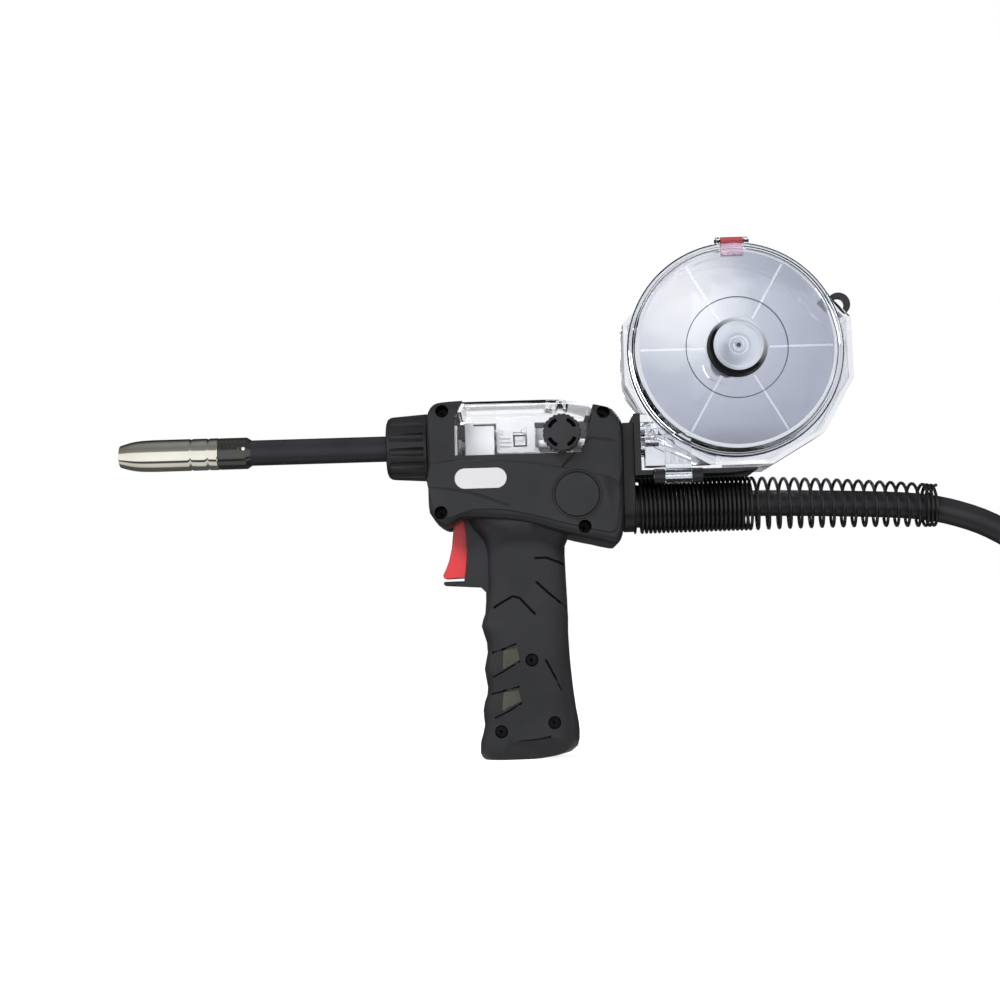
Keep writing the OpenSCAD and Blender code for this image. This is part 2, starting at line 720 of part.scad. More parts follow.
module current_block() {
  color(brass) difference() {
    union() {
      block(block_front, block_rear, -10, 10, barrel_z - 12, barrel_z + 10.6);
      pin_x(0, barrel_z, 10.4, nut_rear - 8.6, block_front + 1);
      pin_x(0, barrel_z - 18, 4.4, block_front, block_rear);
      block(block_front, block_rear, -4.4, 4.4, barrel_z - 18, barrel_z - 10);
    }
    pin_x(0, barrel_z, conductor_d / 2 + slide_fit, nut_rear - 10, block_rear + 1);
  }
}

// ---- Feed unit
guide_r = 2.4;
guide_bore = 1;

module outlet_guide() {
  color(brass) difference() {
    union() {
      pin_x(0, barrel_z, guide_r, block_rear + 0.4, drive_x - 8);
      pin_x(0, barrel_z, guide_r + 1.4, block_rear + 0.4, block_rear + 2);
    }
    pin_x(0, barrel_z, guide_bore, -60, 20);
    pin_y(drive_x, drive_z, roll_d / 2 + free_gap, -10, 10);
    pin_y(drive_x, press_z, press_d / 2 + free_gap, -10, 10);
  }
}

module feed_frame() {
  color(white) difference() {
    union() {
      block(-30.6, -14.6, -12, 12, barrel_z - 14, barrel_z + 9.6);
      block(-30.6, 29, plate_y, plate_y + 2.4, barrel_z - 22, barrel_z + 9.6);
      block(-30.6, -26, -12, 12, barrel_z + 8, barrel_z + 11.4);
      block(25.4, 29, -13, plate_y + 1, barrel_z - 8, knob_z + 4.5);
      block(knob_x - 4.5, 29, -13, -5, knob_z - 4.5, knob_z + 4.5);
    }
    pin_y(knob_x, knob_z, stud_r + turn_fit, -20, -4);
    pin_x(0, barrel_z, guide_r + slide_fit, -40, -10);
    pin_x(0, barrel_z, guide_r + slide_fit, 20, 40);
    pin_y(drive_x, drive_z, 4, -10, 20);
    pin_y(arm_x, arm_z, pin_d / 2 + slide_fit, 0, 20);
  }
}

motor_drop = 62;
motor_top = barrel_z - motor_drop;
case_low = motor_top + 4;

module gear_motor() {
  y0 = plate_y + 2.6;
  color(steel) difference() {
    union() {
      translate([1, 0, 61]) cylinder(d = motor_d, h = motor_top - 61);
      translate([1, 0, motor_top - 1]) cylinder(d = motor_d - 6, h = case_low - motor_top + 2);
      block(-11, 13, -12, 12, case_low, case_low + 20);
      block(-11, 13, y0, 20, case_low + 19, barrel_z - 1);
      pin_y(drive_x, drive_z, 7, y0, y0 + 2);
      pin_y(drive_x, drive_z, 3, -roll_w / 2 - 1.6, y0 + 1);
    }
    for (x = [-7.5, 9.5]) pin_y(x, case_low + 6, 1.3, -14, 15);
  }
}

module drive_roll() {
  color(steel) difference() {
    pin_y(drive_x, drive_z, roll_d / 2, -roll_w / 2, roll_w / 2);
    pin_y(drive_x, drive_z, 3 + turn_fit, -10, 10);
    translate([drive_x, 0, drive_z]) rotate([90, 0, 0]) rotate_extrude()
      polygon([[roll_d / 2 - 0.9, 0], [roll_d / 2 + 1, -1.5], [roll_d / 2 + 1, 1.5]]);
    for (k = [0:2]) pin_y(drive_x + 6.4 * cos(120 * k + 90), drive_z + 6.4 * sin(120 * k + 90),
      1.2, -10, 10);
  }
}

cheek_y = roll_w / 2 + 0.6;

module pressure_arm() {
  color(white) difference() {
    union() {
      slab(-cheek_y - 2.2, -cheek_y) arm_outline();
      slab(-cheek_y - 0.1, plate_y - free_gap) translate([-12.6, arm_z - 2.6])
        square([4.6, 5.4]);
      slab(-cheek_y - 0.1, plate_y - free_gap) translate([-12.6, press_z + press_d / 2 + 0.4])
        square([20.4, 1.3]);
      slab(-cheek_y - 2.2, -cheek_y) translate([drive_x - 3.4, press_z + press_d / 2])
        square([7, 1.7]);
    }
    pin_y(arm_x, arm_z, pin_d / 2 + turn_fit, -20, 20);
    pin_y(drive_x, press_z, 1.5 + slide_fit, -20, 20);
    slab(-cheek_y - 3, -cheek_y - 1.5) difference() {
      translate([-4.2, barrel_z + 0.8]) square([6.4, 5.6]);
      translate([-3.4, barrel_z + 1.6]) square([4.8, 4]);
    }
  }
}

module arm_outline() {
  polygon([[-13.4, barrel_z - 5], [-13.4, press_z + press_d / 2 + 1.7],
    [7.8, press_z + press_d / 2 + 1.7], [7.8, barrel_z - 5]]);
}

module pressure_roll() {
  color(steel) difference() {
    pin_y(drive_x, press_z, press_d / 2, -roll_w / 2, roll_w / 2);
    pin_y(drive_x, press_z, 1.5 + turn_fit, -10, 10);
  }
}

module arm_pin() {
  color(steel) pin_y(arm_x, arm_z, pin_d / 2, -cheek_y - 2.6, plate_y + 2.4);
}

module roll_axle() {
  color(steel) pin_y(drive_x, press_z, 1.5, -cheek_y - 2.2, plate_y - free_gap);
}

module inlet_guide() {
  color(brass) difference() {
    pin_x(0, barrel_z, guide_r, drive_x + 8, plate_back + 3);
    pin_x(0, barrel_z, guide_bore, 0, 80);
    pin_y(drive_x, drive_z, roll_d / 2 + free_gap, -10, 10);
    pin_y(drive_x, press_z, press_d / 2 + free_gap, -10, 10);
  }
}

// ---- Feed cover
module cover_section(shrink) {
  r = edge_r - shrink;
  h = cover_top_z + 2;
  translate([-cover_y + shrink, cover_low - 1 + (shrink > 0 ? -1 : 0)])
    square([2 * cover_y - 2 * shrink, barrel_z + 15.6 - cover_low + 1]);
  hull() for (y = [-1, 1]) translate([y * (cover_y - shrink - r), barrel_z + 22 - shrink - r])
    circle(r = r);
  translate([-cover_y + shrink, barrel_z + 8]) square([2 * cover_y - 2 * shrink, 7.8]);
}

module cover_solid(shrink, gap) {
  intersection() {
    slab(-cover_y - 1, cover_y + 1) translate([0, -shrink * 0.5]) cover_outline(gap);
    translate([-2 * body_front, 0, 0]) rotate([90, 0, 90])
      linear_extrude(4 * body_front) cover_section(shrink);
  }
}

module feed_cover() {
  color(clear) difference() {
    union() {
      difference() {
        cover_solid(0, 0);
        cover_solid(cover_wall, -cover_wall * 0.6);
        block(-60, 60, -cover_y + cover_wall, cover_y + 1, cover_low - 5, far_top + 0.4);
      }
      pin_y(knob_x, knob_z, 4.4, -cover_y - 0.4, -cover_y + 3);
      for (x = tongue_at) {
        block(x - tongue_half, x + tongue_half, cover_y - cover_wall - 2.2,
          body_half - wall - free_gap, far_top - 3.6, far_top + 4);
        block(x - tongue_half, x + tongue_half, cover_y - cover_wall - 1,
          cover_y - cover_wall + 0.5, far_top + 0.4, far_top + 4);
        pin_y(x, far_top - 2, peg_r, body_half - wall - 1, body_half - 0.6);
      }
    }
    pin_y(knob_x, knob_z, stud_r + turn_fit, -cover_y - 5, 0);
  }
}

module cover_knob() {
  y0 = -cover_y - 0.7;
  y1 = y0 - knob_h;
  color(black) difference() {
    union() {
      translate([knob_x, y0, knob_z]) rotate([90, 0, 0]) rotate_extrude()
        polygon([[0, 0], [knob_d / 2 - 0.6, 0], [knob_d / 2, 0.6], [knob_d / 2, knob_h - 1],
          [knob_d / 2 - 1, knob_h], [0, knob_h]]);
      pin_y(knob_x, knob_z, stud_r, y0 - 1, stud_end);
    }
    for (k = [0:23]) pin_y(knob_x + (knob_d / 2 + 0.2) * cos(15 * k),
      knob_z + (knob_d / 2 + 0.2) * sin(15 * k), 0.75, y1 - 1, y0 + 1);
    for (k = [0:3]) slab(y1 - 1, y1 + 2.4) translate([knob_x, knob_z]) intersection() {
      difference() {
        circle(r = knob_d / 2 - 1.9);
        circle(r = knob_d / 2 - 4);
      }
      rotate(90 * k + 22) square(20);
      rotate(90 * k - 22) square(20);
    }
  }
}

// ---- Rear end
bracket_holes = [[-13, 5.5], [13, 5.5], [-13, -5], [13, -5]];

module rear_adapter() {
  color(black) difference() {
    hull() {
      pin_x(0, spring_z0, spring_r0 - 0.4, body_rear + 0.05, plate_front);
      block(body_rear + 0.05, plate_front, -17, 17, barrel_z - 8, barrel_z + 8.6);
    }
    for (h = bracket_holes) pin_x(h[0], barrel_z + h[1], 1.5 + slide_fit, 0, 90);
    pin_x(0, spring_z0, 10 + slide_fit, 0, 90);
    pin_x(0, barrel_z, guide_r + slide_fit, 0, 90);
  }
}

module canister_bracket() {
  color(black) difference() {
    union() {
      block(plate_front, plate_back, -saddle_half, saddle_half, saddle_top - saddle_t,
        barrel_z + 13);
      block(plate_front, saddle_end, -saddle_half, saddle_half, saddle_top - saddle_t, saddle_top);
      for (x = [tab_x - tab_w / 2 - 3.2, tab_x + tab_w / 2 + 3.2]) lid_ear(x);
    }
    pin_x(0, spring_z0, spring_r0 + spring_wire / 2 + 0.6, plate_front - 1, 200);
    pin_x(0, barrel_z, guide_r + slide_fit, 0, 90);
    translate([saddle_end, 0, saddle_top - saddle_t]) rotate([90, 0, 0])
      linear_extrude(100, center = true) polygon([[1, -1], [-24, -1], [1, saddle_t - 1]]);
    pin_x(lid_hinge_y, lid_hinge_z, 1.5 + slide_fit, 0, 120);
    for (h = bracket_holes) pin_x(h[0], barrel_z + h[1], 1.6, 0, 90);
  }
}

module lid_ear(x) {
  difference() {
    union() {
      pin_x(lid_hinge_y, lid_hinge_z, knuckle_r, x - 2.8, x + 2.8);
      block(x - 2.8, x + 2.8, lid_hinge_y, -saddle_half + 1, saddle_top - saddle_t,
        lid_hinge_z + knuckle_r);
      block(x - 2.8, x + 2.8, lid_hinge_y, -saddle_half + 1, lid_hinge_z, saddle_top);
    }
    block(x - 4, x + 4, -60, lid_hinge_y - knuckle_r, 0, 300);
  }
}

module bracket_screws() {
  color(steel) for (h = bracket_holes) {
    pin_x(h[0], barrel_z + h[1], 3, plate_back, plate_back + 2);
    pin_x(h[0], barrel_z + h[1], 1.5, body_rear + 0.4, plate_back + 0.5);
  }
}

foot_top = can_z - 39.4;

// The canister body's outline: flat sides round the bottom, round under the latch
module shell_outline(inset) {
  r = shell_r - inset / cos(15);
  polygon([for (k = [0:11]) let (a = 15 + 30 * k, q = sin(a) > 0.6 ? can_r - 2 - inset : r)
    [shell_x + q * cos(a), can_z + q * sin(a)]]);
  translate([can_x, can_z]) circle(r = can_r - inset);
}

module canister_body() {
  y0 = lid_edge;
  y1 = can_far;
  w = can_wall;
  color(clear) difference() {
    union() {
      pin_y(can_x, can_z, can_r, y0, y1);
      slab(shell_y, y1) shell_outline(0);
      difference() {
        union() {
          block(plate_back, can_x - 10, -foot_half, foot_half, saddle_top, foot_top);
          block(plate_back, plate_back + 4, -foot_half, foot_half, saddle_top, barrel_z + 12.5);
        }
        pin_y(can_x, can_z, can_r + 2 * free_gap, -40, y0);
      }
    }
    difference() {
      union() {
        pin_y(can_x, can_z, can_r - w, y0 - 1, y1 - w);
        slab(shell_y + w, y1 - w) shell_outline(w);
      }
      pin_y(can_x, can_z, 12, y1 - w - 3, y1);
    }
    difference() {
      block(plate_back + w, can_x - 10 - w, -foot_half + w, foot_half - w, saddle_top + w,
        foot_top - w);
      slab(shell_y, foot_half) shell_outline(0);
      pin_y(can_x, can_z, can_r, -foot_half, foot_half);
    }
    pin_y(can_x, can_z, shaft_d / 2 + slide_fit, 0, 60);
    pin_x(0, barrel_z, guide_r + slide_fit, 0, 90);
    pin_x(0, barrel_z, guide_r + 0.8 + slide_fit, plate_back + w, 90);
    for (k = [-1:1]) block(tab_x + 4.4 * k - 0.9, tab_x + 4.4 * k + 0.9, -foot_half - 1,
      -foot_half + w + 1, saddle_top + 3, saddle_top + 10);
    for (h = bracket_holes) pin_x(h[0], barrel_z + h[1], 3.4, plate_back - 1, plate_back + 6);
    block(can_x - latch_w / 2 - 1, can_x + latch_w / 2 + 1, y0 - 1, y0 + 6,
      can_z + can_r - 8, can_z + can_r + 3);
  }
}

module canister_lid() {
  y = -can_near;
  r = can_r;
  w = can_wall;
  d = lid_depth;
  b = lid_boss_r;
  color(clear) difference() {
    union() {
      translate([can_x, y, can_z]) rotate([-90, 0, 0]) rotate_extrude() polygon([
        [0, -6.4], [b - 3, -6.4], [b - 1.2, -5.4], [b, 0], [27.2, 0], [27.2, 0.4], [27.9, 0.4],
        [27.9, 0], [r - 6.4, 0], [r - 3, 1], [r - 1, 3.4], [r, d * 0.7], [r, d],
        [r - w - 0.4, d], [r - w - 0.4, d + 1.4], [r - w - 1.2, d + 1.4],
        [r - w - 1.2, d - 0.5], [r - w - 1.4, 4.6],
        [r - 4.6, 3], [r - 7, w - 0.2], [b + 1, w - 0.2], [b - 1.6, w], [b - 3, -4.4], [0, -4.4]]);
      for (k = [0:5]) translate([can_x, y, can_z]) rotate([0, 60 * k, 0])
        translate([b + 1, 1, -0.6]) cube([r - 7 - b - 1, 2, 1.2]);
      block(tab_x - tab_w / 2, tab_x + tab_w / 2, lid_hinge_y - 3.4, lid_hinge_y + 1.4,
        lid_hinge_z, can_z - can_r + 13);
      pin_x(lid_hinge_y, lid_hinge_z, knuckle_r, tab_x - tab_w / 2, tab_x + tab_w / 2);
      for (s = [-1, 1]) latch_ear(can_x + s * (latch_w / 2 + 1.6));
    }
    difference() {
      pin_y(can_x, can_z, r - 5, y + w, y + d + 5);
      for (k = [0:5]) translate([can_x, y, can_z]) rotate([0, 60 * k, 0])
        translate([b + 1, 1, -0.6]) cube([r - 7 - b - 1, 2, 1.2]);
    }
    pin_x(lid_hinge_y, lid_hinge_z, 1.5 + turn_fit, 0, 120);
    pin_x(latch_y, latch_z, 1 + slide_fit, 90, 140);
    block(can_x - latch_w / 2 - 0.6, can_x + latch_w / 2 + 0.6, y + 3.6, y + d + 5,
      can_z + r - 9, can_z + r + 6);
  }
}

module latch_ear(x) {
  hull() {
    pin_x(latch_y, latch_z, latch_r, x - 1.1, x + 1.1);
    block(x - 1.1, x + 1.1, latch_y - 2.6, latch_y + 1.6, can_z + can_r - 2.6, can_z + can_r - 1);
  }
}

module lid_pin() {
  color(steel) pin_x(lid_hinge_y, lid_hinge_z, 1.5, tab_x - tab_w / 2 - 6.2,
    tab_x + tab_w / 2 + 6.2);
}

module lid_latch() {
  x0 = can_x - latch_w / 2;
  x1 = can_x + latch_w / 2;
  rim = can_z + can_r;
  color(red) difference() {
    union() {
      pin_x(latch_y, latch_z, latch_r, x0, x1);
      block(x0, x1, latch_y - 2.5, latch_y + 14.6, latch_z - 0.4, latch_z + 1.6);
      block(x0, x1, latch_y - 1, latch_y + 1, rim - 7.4, latch_z);
      block(x0, x1, latch_y - 1, latch_y + 2.6, rim - 7.4, rim - 5.8);
    }
    pin_x(latch_y, latch_z, 1 + turn_fit, 90, 140);
  }
}

module latch_pin() {
  color(steel) pin_x(latch_y, latch_z, 1, can_x - latch_w / 2 - 3.4, can_x + latch_w / 2 + 3.4);
}

eye_a = 24;
eye_r = 6.6;
eye_bore = 3.6;
eye_out = drum_r + 2;

module hang_eye() {
  color("#4a4c50") difference() {
    translate([can_x, 0, can_z]) rotate([0, -eye_a, 0]) union() {
      translate([eye_out, 2.5, 0]) rotate([90, 0, 0]) cylinder(r = eye_r, h = 5);
      block(drum_r - 6.8, drum_r - 1.2, -6, 6, -7, 7);
      block(drum_r - 5.8, eye_out - eye_bore - 0.4, -2.5, 2.5, -5, 5);
    }
    slab(-40, 40) translate([0.02, 0.02]) shell_outline(0);
    pin_y(can_x + eye_out * cos(eye_a), can_z + eye_out * sin(eye_a), eye_bore, -10, 10);
  }
}

// ---- Spool shaft
hub_back = can_far - can_wall - 3;
hub_front = hub_back - 48.2;

module spool_shaft() {
  color(steel) union() {
    pin_y(can_x, can_z, shaft_d / 2, hub_front + 3, can_far + 2);
    pin_y(can_x, can_z, 7, can_far, can_far + 2);
  }
}

module spool_hub() {
  color(white) difference() {
    union() {
      pin_y(can_x, can_z, hub_r, hub_front, hub_back - 0.3);
      pin_y(can_x, can_z, 13, hub_back - 2.6, hub_back - 0.3);
    }
    pin_y(can_x, can_z, shaft_d / 2 + turn_fit, hub_front - 1, 60);
    pin_y(can_x, can_z, hub_r - 1.6, hub_front - 1, hub_front + 14);
  }
}

module brake_spring() {
  color(steel) difference() {
    pin_y(can_x, can_z, shaft_d / 2 + 1.6, hub_front + 7.4, hub_front + 13.7);
    pin_y(can_x, can_z, shaft_d / 2 + slide_fit, -60, 60);
  }
}

module shaft_nut() {
  color(steel) difference() {
    translate([can_x, hub_front + 7.2, can_z]) rotate([90, 0, 0])
      cylinder(r = hub_r - 2, h = 4, $fn = 6);
    pin_y(can_x, can_z, shaft_d / 2 + 0.01, -60, 60);
  }
}

module wire_guide() {
  x = plate_back + can_wall;
  color(steel) turned_x([[x + 0.2, guide_r + 0.1], [x + 0.2, guide_r + 0.8],
    [x + 9, guide_r + 0.8], [x + 9, guide_bore + 1.2], [x + 4, guide_bore],
    [x + 1.2, guide_bore], [x + 1.2, guide_r + 0.1]]);
}

// ---- Lead
module rear_gland() {
  r = lead_d / 2 + 0.05;
  rim = spring_r0 + spring_wire / 2;
  tail = spring_r1 * cos(22.5) - spring_wire / 2 - 0.4;
  end = spring_x + pitch_close * (spring_close - 1);
  color(black) turned_x([[body_rear - 6, r], [body_rear - 6, 10], [gland_x, 10],
    [gland_x, rim], [spring_x - 0.3, rim], [spring_x, rim - 0.3], [spring_x, tail],
    [end - 2, tail], [end, tail - 1.2], [end, r]], spring_z0);
}

n_close = spring_close;
n_open = n_close + spring_open;
n_all = n_open + spring_end;
pitch_end = pitch_close - 0.1;

function spring_step(t) = t < n_close ? pitch_close * t
  : t < n_open ? pitch_close * n_close + pitch_open * (t - n_close)
  : pitch_close * n_close + pitch_open * spring_open + pitch_end * (t - n_open);

function spring_rad(t) = t < n_close
  ? spring_r0 + (spring_r1 - spring_r0) * t / n_close
  : spring_r1 + (spring_r2 - spring_r1) * (t - n_close) / (n_all - n_close);

function spring_axis(x) = spring_z0 - spring_sag * pow(max(0, x - spring_bend), 2);

function spring_at(t) = let (x = spring_x + 2.2 + spring_step(t), r = spring_rad(t))
  [x, -r * sin(360 * t), spring_axis(x) + r * cos(360 * t)];

spring_curl = 8;
spring_mid = [for (i = [0:n_all * spring_curl]) spring_at(i / spring_curl)];
spring_last = spring_mid[len(spring_mid) - 1];
spring_path = concat([spring_mid[0] - [2.2, 0, 0], spring_mid[0] - [1, 0, 0]], spring_mid,
  [spring_last + [0.3, -2.4, 0.1]]);

function spring_u(i) = let (c = [spring_path[i][0], 0, spring_axis(spring_path[i][0])],
  t = way(spring_path, i), d = spring_path[i] - c, e = d - (d * t) * t) unit(e);

function spring_way(i) = i == 0 ? [1, 0, 0] : way(spring_path, i);

module strain_spring() {
  color(black) skin([for (i = [0:len(spring_path) - 1])
    ring(spring_path[i], spring_way(i), spring_u(i), spring_wire / 2, 6)]);
}

function gap_between(p, q) = min([for (a = p) min([for (b = q) norm(a - b)])]);
echo(spring_self_gap = min([for (k = [0:n_all - 2])
  gap_between([for (i = [0:spring_curl - 1]) spring_mid[k * spring_curl + i]],
    [for (i = [0:spring_curl - 1]) spring_mid[min((k + 1) * spring_curl + i,
      len(spring_mid) - 1)]])]) - spring_wire);

module power_cable() {
  p = [for (q = lead_points) [q[0], 0, q[1]]];
  color(black) skin(tube_rings(p, lead_d / 2, 12));
}

coil_rings = 24;
coil_in = coil_turns / 4;

function coil_rad(t) = let (u = t % (2 * coil_in)) coil_r - coil_step * min(u, 2 * coil_in - u);
function coil_drop(t) = t < 0 ? 0 : t > 0.5 ? 1 : (1 - cos(360 * t)) / 2;
function coil_at(t) = [coil_x + coil_rad(t) * sin(360 * t), coil_rad(t) * cos(360 * t) - coil_r,
  coil_top - coil_rise * (coil_drop(t - coil_in + 0.25) + coil_drop(t - 2 * coil_in + 0.25)
  + coil_drop(t - 3 * coil_in + 0.25))];

coil_mid = [for (i = [0:coil_turns * coil_rings]) coil_at(i / coil_rings)];
coil_end = coil_mid[len(coil_mid) - 1];
coil_path = concat([coil_mid[0], coil_mid[0] + [lead_d, 0, 0]],
  [for (i = [2:len(coil_mid) - 3]) coil_mid[i]],
  [coil_end, coil_end - [lead_d, 0, 0]]);

echo(coil_self_gap = min([for (i = [0:len(coil_mid) - 19], j = [i + 18:len(coil_mid) - 1])
  norm(coil_mid[i] - coil_mid[j])]) - lead_d);

module cable_coil() {
  color(black) skin(tube_rings(coil_path, lead_d / 2, 6));
}

tail_end = coil_end - [46, 0, 0];

module cable_tail() {
  p = [for (k = [0:3]) let (u = k / 3) (coil_end - [lead_d, 0, 0]) * (1 - u)
    + [tail_end[0], tail_end[1], plug_r] * u];
  color(black) skin(tube_rings(p, lead_d / 2, 12));
}

plug_x = tail_end[0];
plug_y = tail_end[1];

module plug_turned(p) {
  translate([plug_x, plug_y, plug_r]) rotate([0, -90, 0]) rotate_extrude()
    polygon([for (q = p) [q[1], q[0]]]);
}

module plug_boot() {
  r = lead_d / 2 + 0.05;
  color(black) plug_turned([[-10, r], [-10, r + 1.4], [0, r + 2], [14, 12], [18, 12.6],
    [18, r]]);
}

module plug_body() {
  color(black) difference() {
    plug_turned([[0.2, 0], [0.2, lead_d / 2 - 0.4], [18.2, lead_d / 2 - 0.4], [18.2, 12.6],
      [21, 15.6], [27, plug_r - 1], [29, plug_r], [43, plug_r], [45, plug_r - 1.2],
      [47, plug_r - 4], [72, plug_r - 4], [72, 0]]);
    plug_turned([[60, 14], [60, 16], [73, 16], [73, 14]]);
  }
}

module plug_nut() {
  r = plug_nut_d / 2;
  color(black) difference() {
    plug_turned([[47.6, plug_r - 4 + 0.3], [47.6, r - 1], [49, r], [70, r], [72, r - 1.2],
      [74, r - 1.6], [74, plug_r - 4 + 0.3]]);
    for (k = [0:17]) translate([plug_x, plug_y, plug_r]) rotate([20 * k, 0, 0])
      translate([-68.6, 0, r + 1]) rotate([0, 90, 0]) cylinder(r = 1.8, h = 17, $fn = 20);
  }
}

module plug_pins() {
  color(brass) union() {
    plug_turned([[72, 0], [72, plug_pin_d / 2], [89, plug_pin_d / 2], [90, plug_pin_d / 2 - 1],
      [90, 2], [80, 2], [80, 0]]);
    for (s = [-1, 1]) translate([0, s * 10.5, 0]) plug_turned([[72, 0], [72, 2], [78.4, 2],
      [79, 1.4], [79, 0]]);
  }
}

left_housing();
right_housing();
housing_screws();
label_plate();
side_cap();
trigger();
trigger_pin();
micro_switch();
switch_plunger();
neck_nut();
neck_tube();
neck_conductor();
nozzle_insulator();
gas_diffuser();
contact_tip();
nozzle();
current_block();
outlet_guide();
feed_frame();
gear_motor();
drive_roll();
pressure_arm();
pressure_roll();
roll_axle();
arm_pin();
inlet_guide();
feed_cover();
cover_knob();
rear_adapter();
canister_bracket();
bracket_screws();
canister_body();
canister_lid();
lid_pin();
lid_latch();
latch_pin();
hang_eye();
spool_shaft();
spool_hub();
brake_spring();
shaft_nut();
wire_guide();
rear_gland();
strain_spring();
power_cable();
cable_coil();
cable_tail();
plug_boot();
plug_body();
plug_nut();
plug_pins();
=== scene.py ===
"""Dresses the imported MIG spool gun: its lead and spring, its moulded, turned and clear
pieces, their finishes, and a plain studio."""

import json
import math

import bmesh
import bpy
from mathutils import Matrix, Vector
from mathutils.bvhtree import BVHTree

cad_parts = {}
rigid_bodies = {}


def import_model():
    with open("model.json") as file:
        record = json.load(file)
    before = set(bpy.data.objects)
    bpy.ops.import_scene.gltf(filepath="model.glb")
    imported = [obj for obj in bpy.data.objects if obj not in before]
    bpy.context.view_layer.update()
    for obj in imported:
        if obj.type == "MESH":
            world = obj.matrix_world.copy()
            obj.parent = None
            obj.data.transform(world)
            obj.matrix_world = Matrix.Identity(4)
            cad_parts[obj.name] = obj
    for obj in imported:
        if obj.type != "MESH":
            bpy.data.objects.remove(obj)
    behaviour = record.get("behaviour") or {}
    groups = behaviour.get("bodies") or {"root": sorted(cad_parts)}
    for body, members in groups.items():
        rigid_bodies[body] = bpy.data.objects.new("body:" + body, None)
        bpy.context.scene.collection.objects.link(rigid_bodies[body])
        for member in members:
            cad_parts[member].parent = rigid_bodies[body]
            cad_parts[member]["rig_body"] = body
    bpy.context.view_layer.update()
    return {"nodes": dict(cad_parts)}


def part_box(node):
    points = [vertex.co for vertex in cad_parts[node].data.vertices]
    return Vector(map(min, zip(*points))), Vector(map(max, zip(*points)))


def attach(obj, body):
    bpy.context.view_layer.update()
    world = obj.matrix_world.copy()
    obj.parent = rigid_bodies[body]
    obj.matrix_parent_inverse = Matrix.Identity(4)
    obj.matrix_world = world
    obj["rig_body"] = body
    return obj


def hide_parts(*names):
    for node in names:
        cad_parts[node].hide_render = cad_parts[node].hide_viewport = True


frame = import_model()

# Places are written in millimetres: the barrel's axis, the canister's axis and the radius of
# its lid, and the axis of the knob.
MM = 0.001
BARREL_Z = 172.3
CAN_X, CAN_Z, CAN_R = 118.3, 218.6, 59.0
KNOB_X, KNOB_Z = 22.0, 174.4


def mm(*values):
    """A place in millimetres becomes one in metres."""
    return Vector(values) * MM


def link(name, data):
    piece = bpy.data.objects.new(name, data)
    bpy.context.scene.collection.objects.link(piece)
    return piece


# ---- Camera

EYE, TARGET, ROLL = mm(-4.0, -935.0, 62.9), mm(-12.5, 0.0, 142.0), 0.029
SENSOR, DISTANCE, VIEW_WIDTH = 36.0, 938.4, 555.0


def place_camera():
    forward = (TARGET - EYE).normalized()
    side = forward.cross(Vector((0, 0, 1))).normalized()
    up = side.cross(forward)
    right = side * math.cos(ROLL) - up * math.sin(ROLL)
    top = up * math.cos(ROLL) + side * math.sin(ROLL)
    turn = Matrix((right, top, -forward)).transposed().to_4x4()
    data = bpy.data.cameras.new("camera")
    data.sensor_width = SENSOR
    data.lens = SENSOR * DISTANCE / VIEW_WIDTH
    data.clip_start, data.clip_end = 0.01, 30.0
    camera = link("camera", data)
    camera.matrix_world = Matrix.Translation(EYE) @ turn
    bpy.context.scene.camera = camera


place_camera()

# ---- Finishes


class Nodes:
    """A node tree, with short ways to add, feed and join its nodes."""

    def __init__(self, tree):
        self.tree = tree

    def add(self, kind, inputs=None, **settings):
        node = self.tree.nodes.new(kind)
        for key, value in settings.items():
            setattr(node, key, value)
        for key, value in (inputs or {}).items():
            self.put(node, key, value)
        return node

    def put(self, node, key, value):
        if isinstance(value, bpy.types.NodeSocket):
            self.tree.links.new(value, node.inputs[key])
        else:
            node.inputs[key].default_value = value

    def reckon(self, operation, *values):
        return self.add("ShaderNodeMath", dict(enumerate(values)), operation=operation).outputs[0]

    def vector(self, operation, inputs, output="Vector"):
        return self.add("ShaderNodeVectorMath", inputs, operation=operation).outputs[output]

    def spread(self, value, low, high, start=0.3, end=0.7):
        """The value's way from start to end becomes one from low to high."""
        return self.add("ShaderNodeMapRange", {"Value": value, "From Min": start, "From Max": end,
                                               "To Min": low, "To Max": high}).outputs["Result"]

    def ramp(self, value, stops):
        """Colours that follow a value; each stop is a place on the ramp and a colour."""
        node = self.add("ShaderNodeValToRGB", {"Fac": value})
        elements = node.color_ramp.elements
        while len(elements) < len(stops):
            elements.new(0.5)
        for element, (at, shade) in zip(elements, stops):
            element.position, element.color = at, (*shade, 1)
        return node.outputs["Color"]


class Finish(Nodes):
    """A material and its node tree."""

    def __init__(self, name):
        self.material = bpy.data.materials.new(name)
        self.material.use_nodes = True
        super().__init__(self.material.node_tree)
        self.shader = self.tree.nodes["Principled BSDF"]
        self.place = self.add("ShaderNodeTexCoord").outputs["Object"]

    def set(self, **values):
        for key, value in values.items():
            self.put(self.shader, key.replace("_", " "), value)

    def noise(self, scale, detail=3.0, roughness=0.55, place=None):
        return self.add("ShaderNodeTexNoise",
                        {"Vector": place or self.place, "Scale": scale, "Detail": detail,
                         "Roughness": roughness}).outputs["Fac"]

    def shades(self, value, dark, light, start=0.3, end=0.7):
        return self.ramp(value, [(start, dark), (end, light)])

    def bump(self, height, distance, strength):
        return self.add("ShaderNodeBump", {"Height": height, "Distance": distance,
                                           "Strength": strength}).outputs["Normal"]


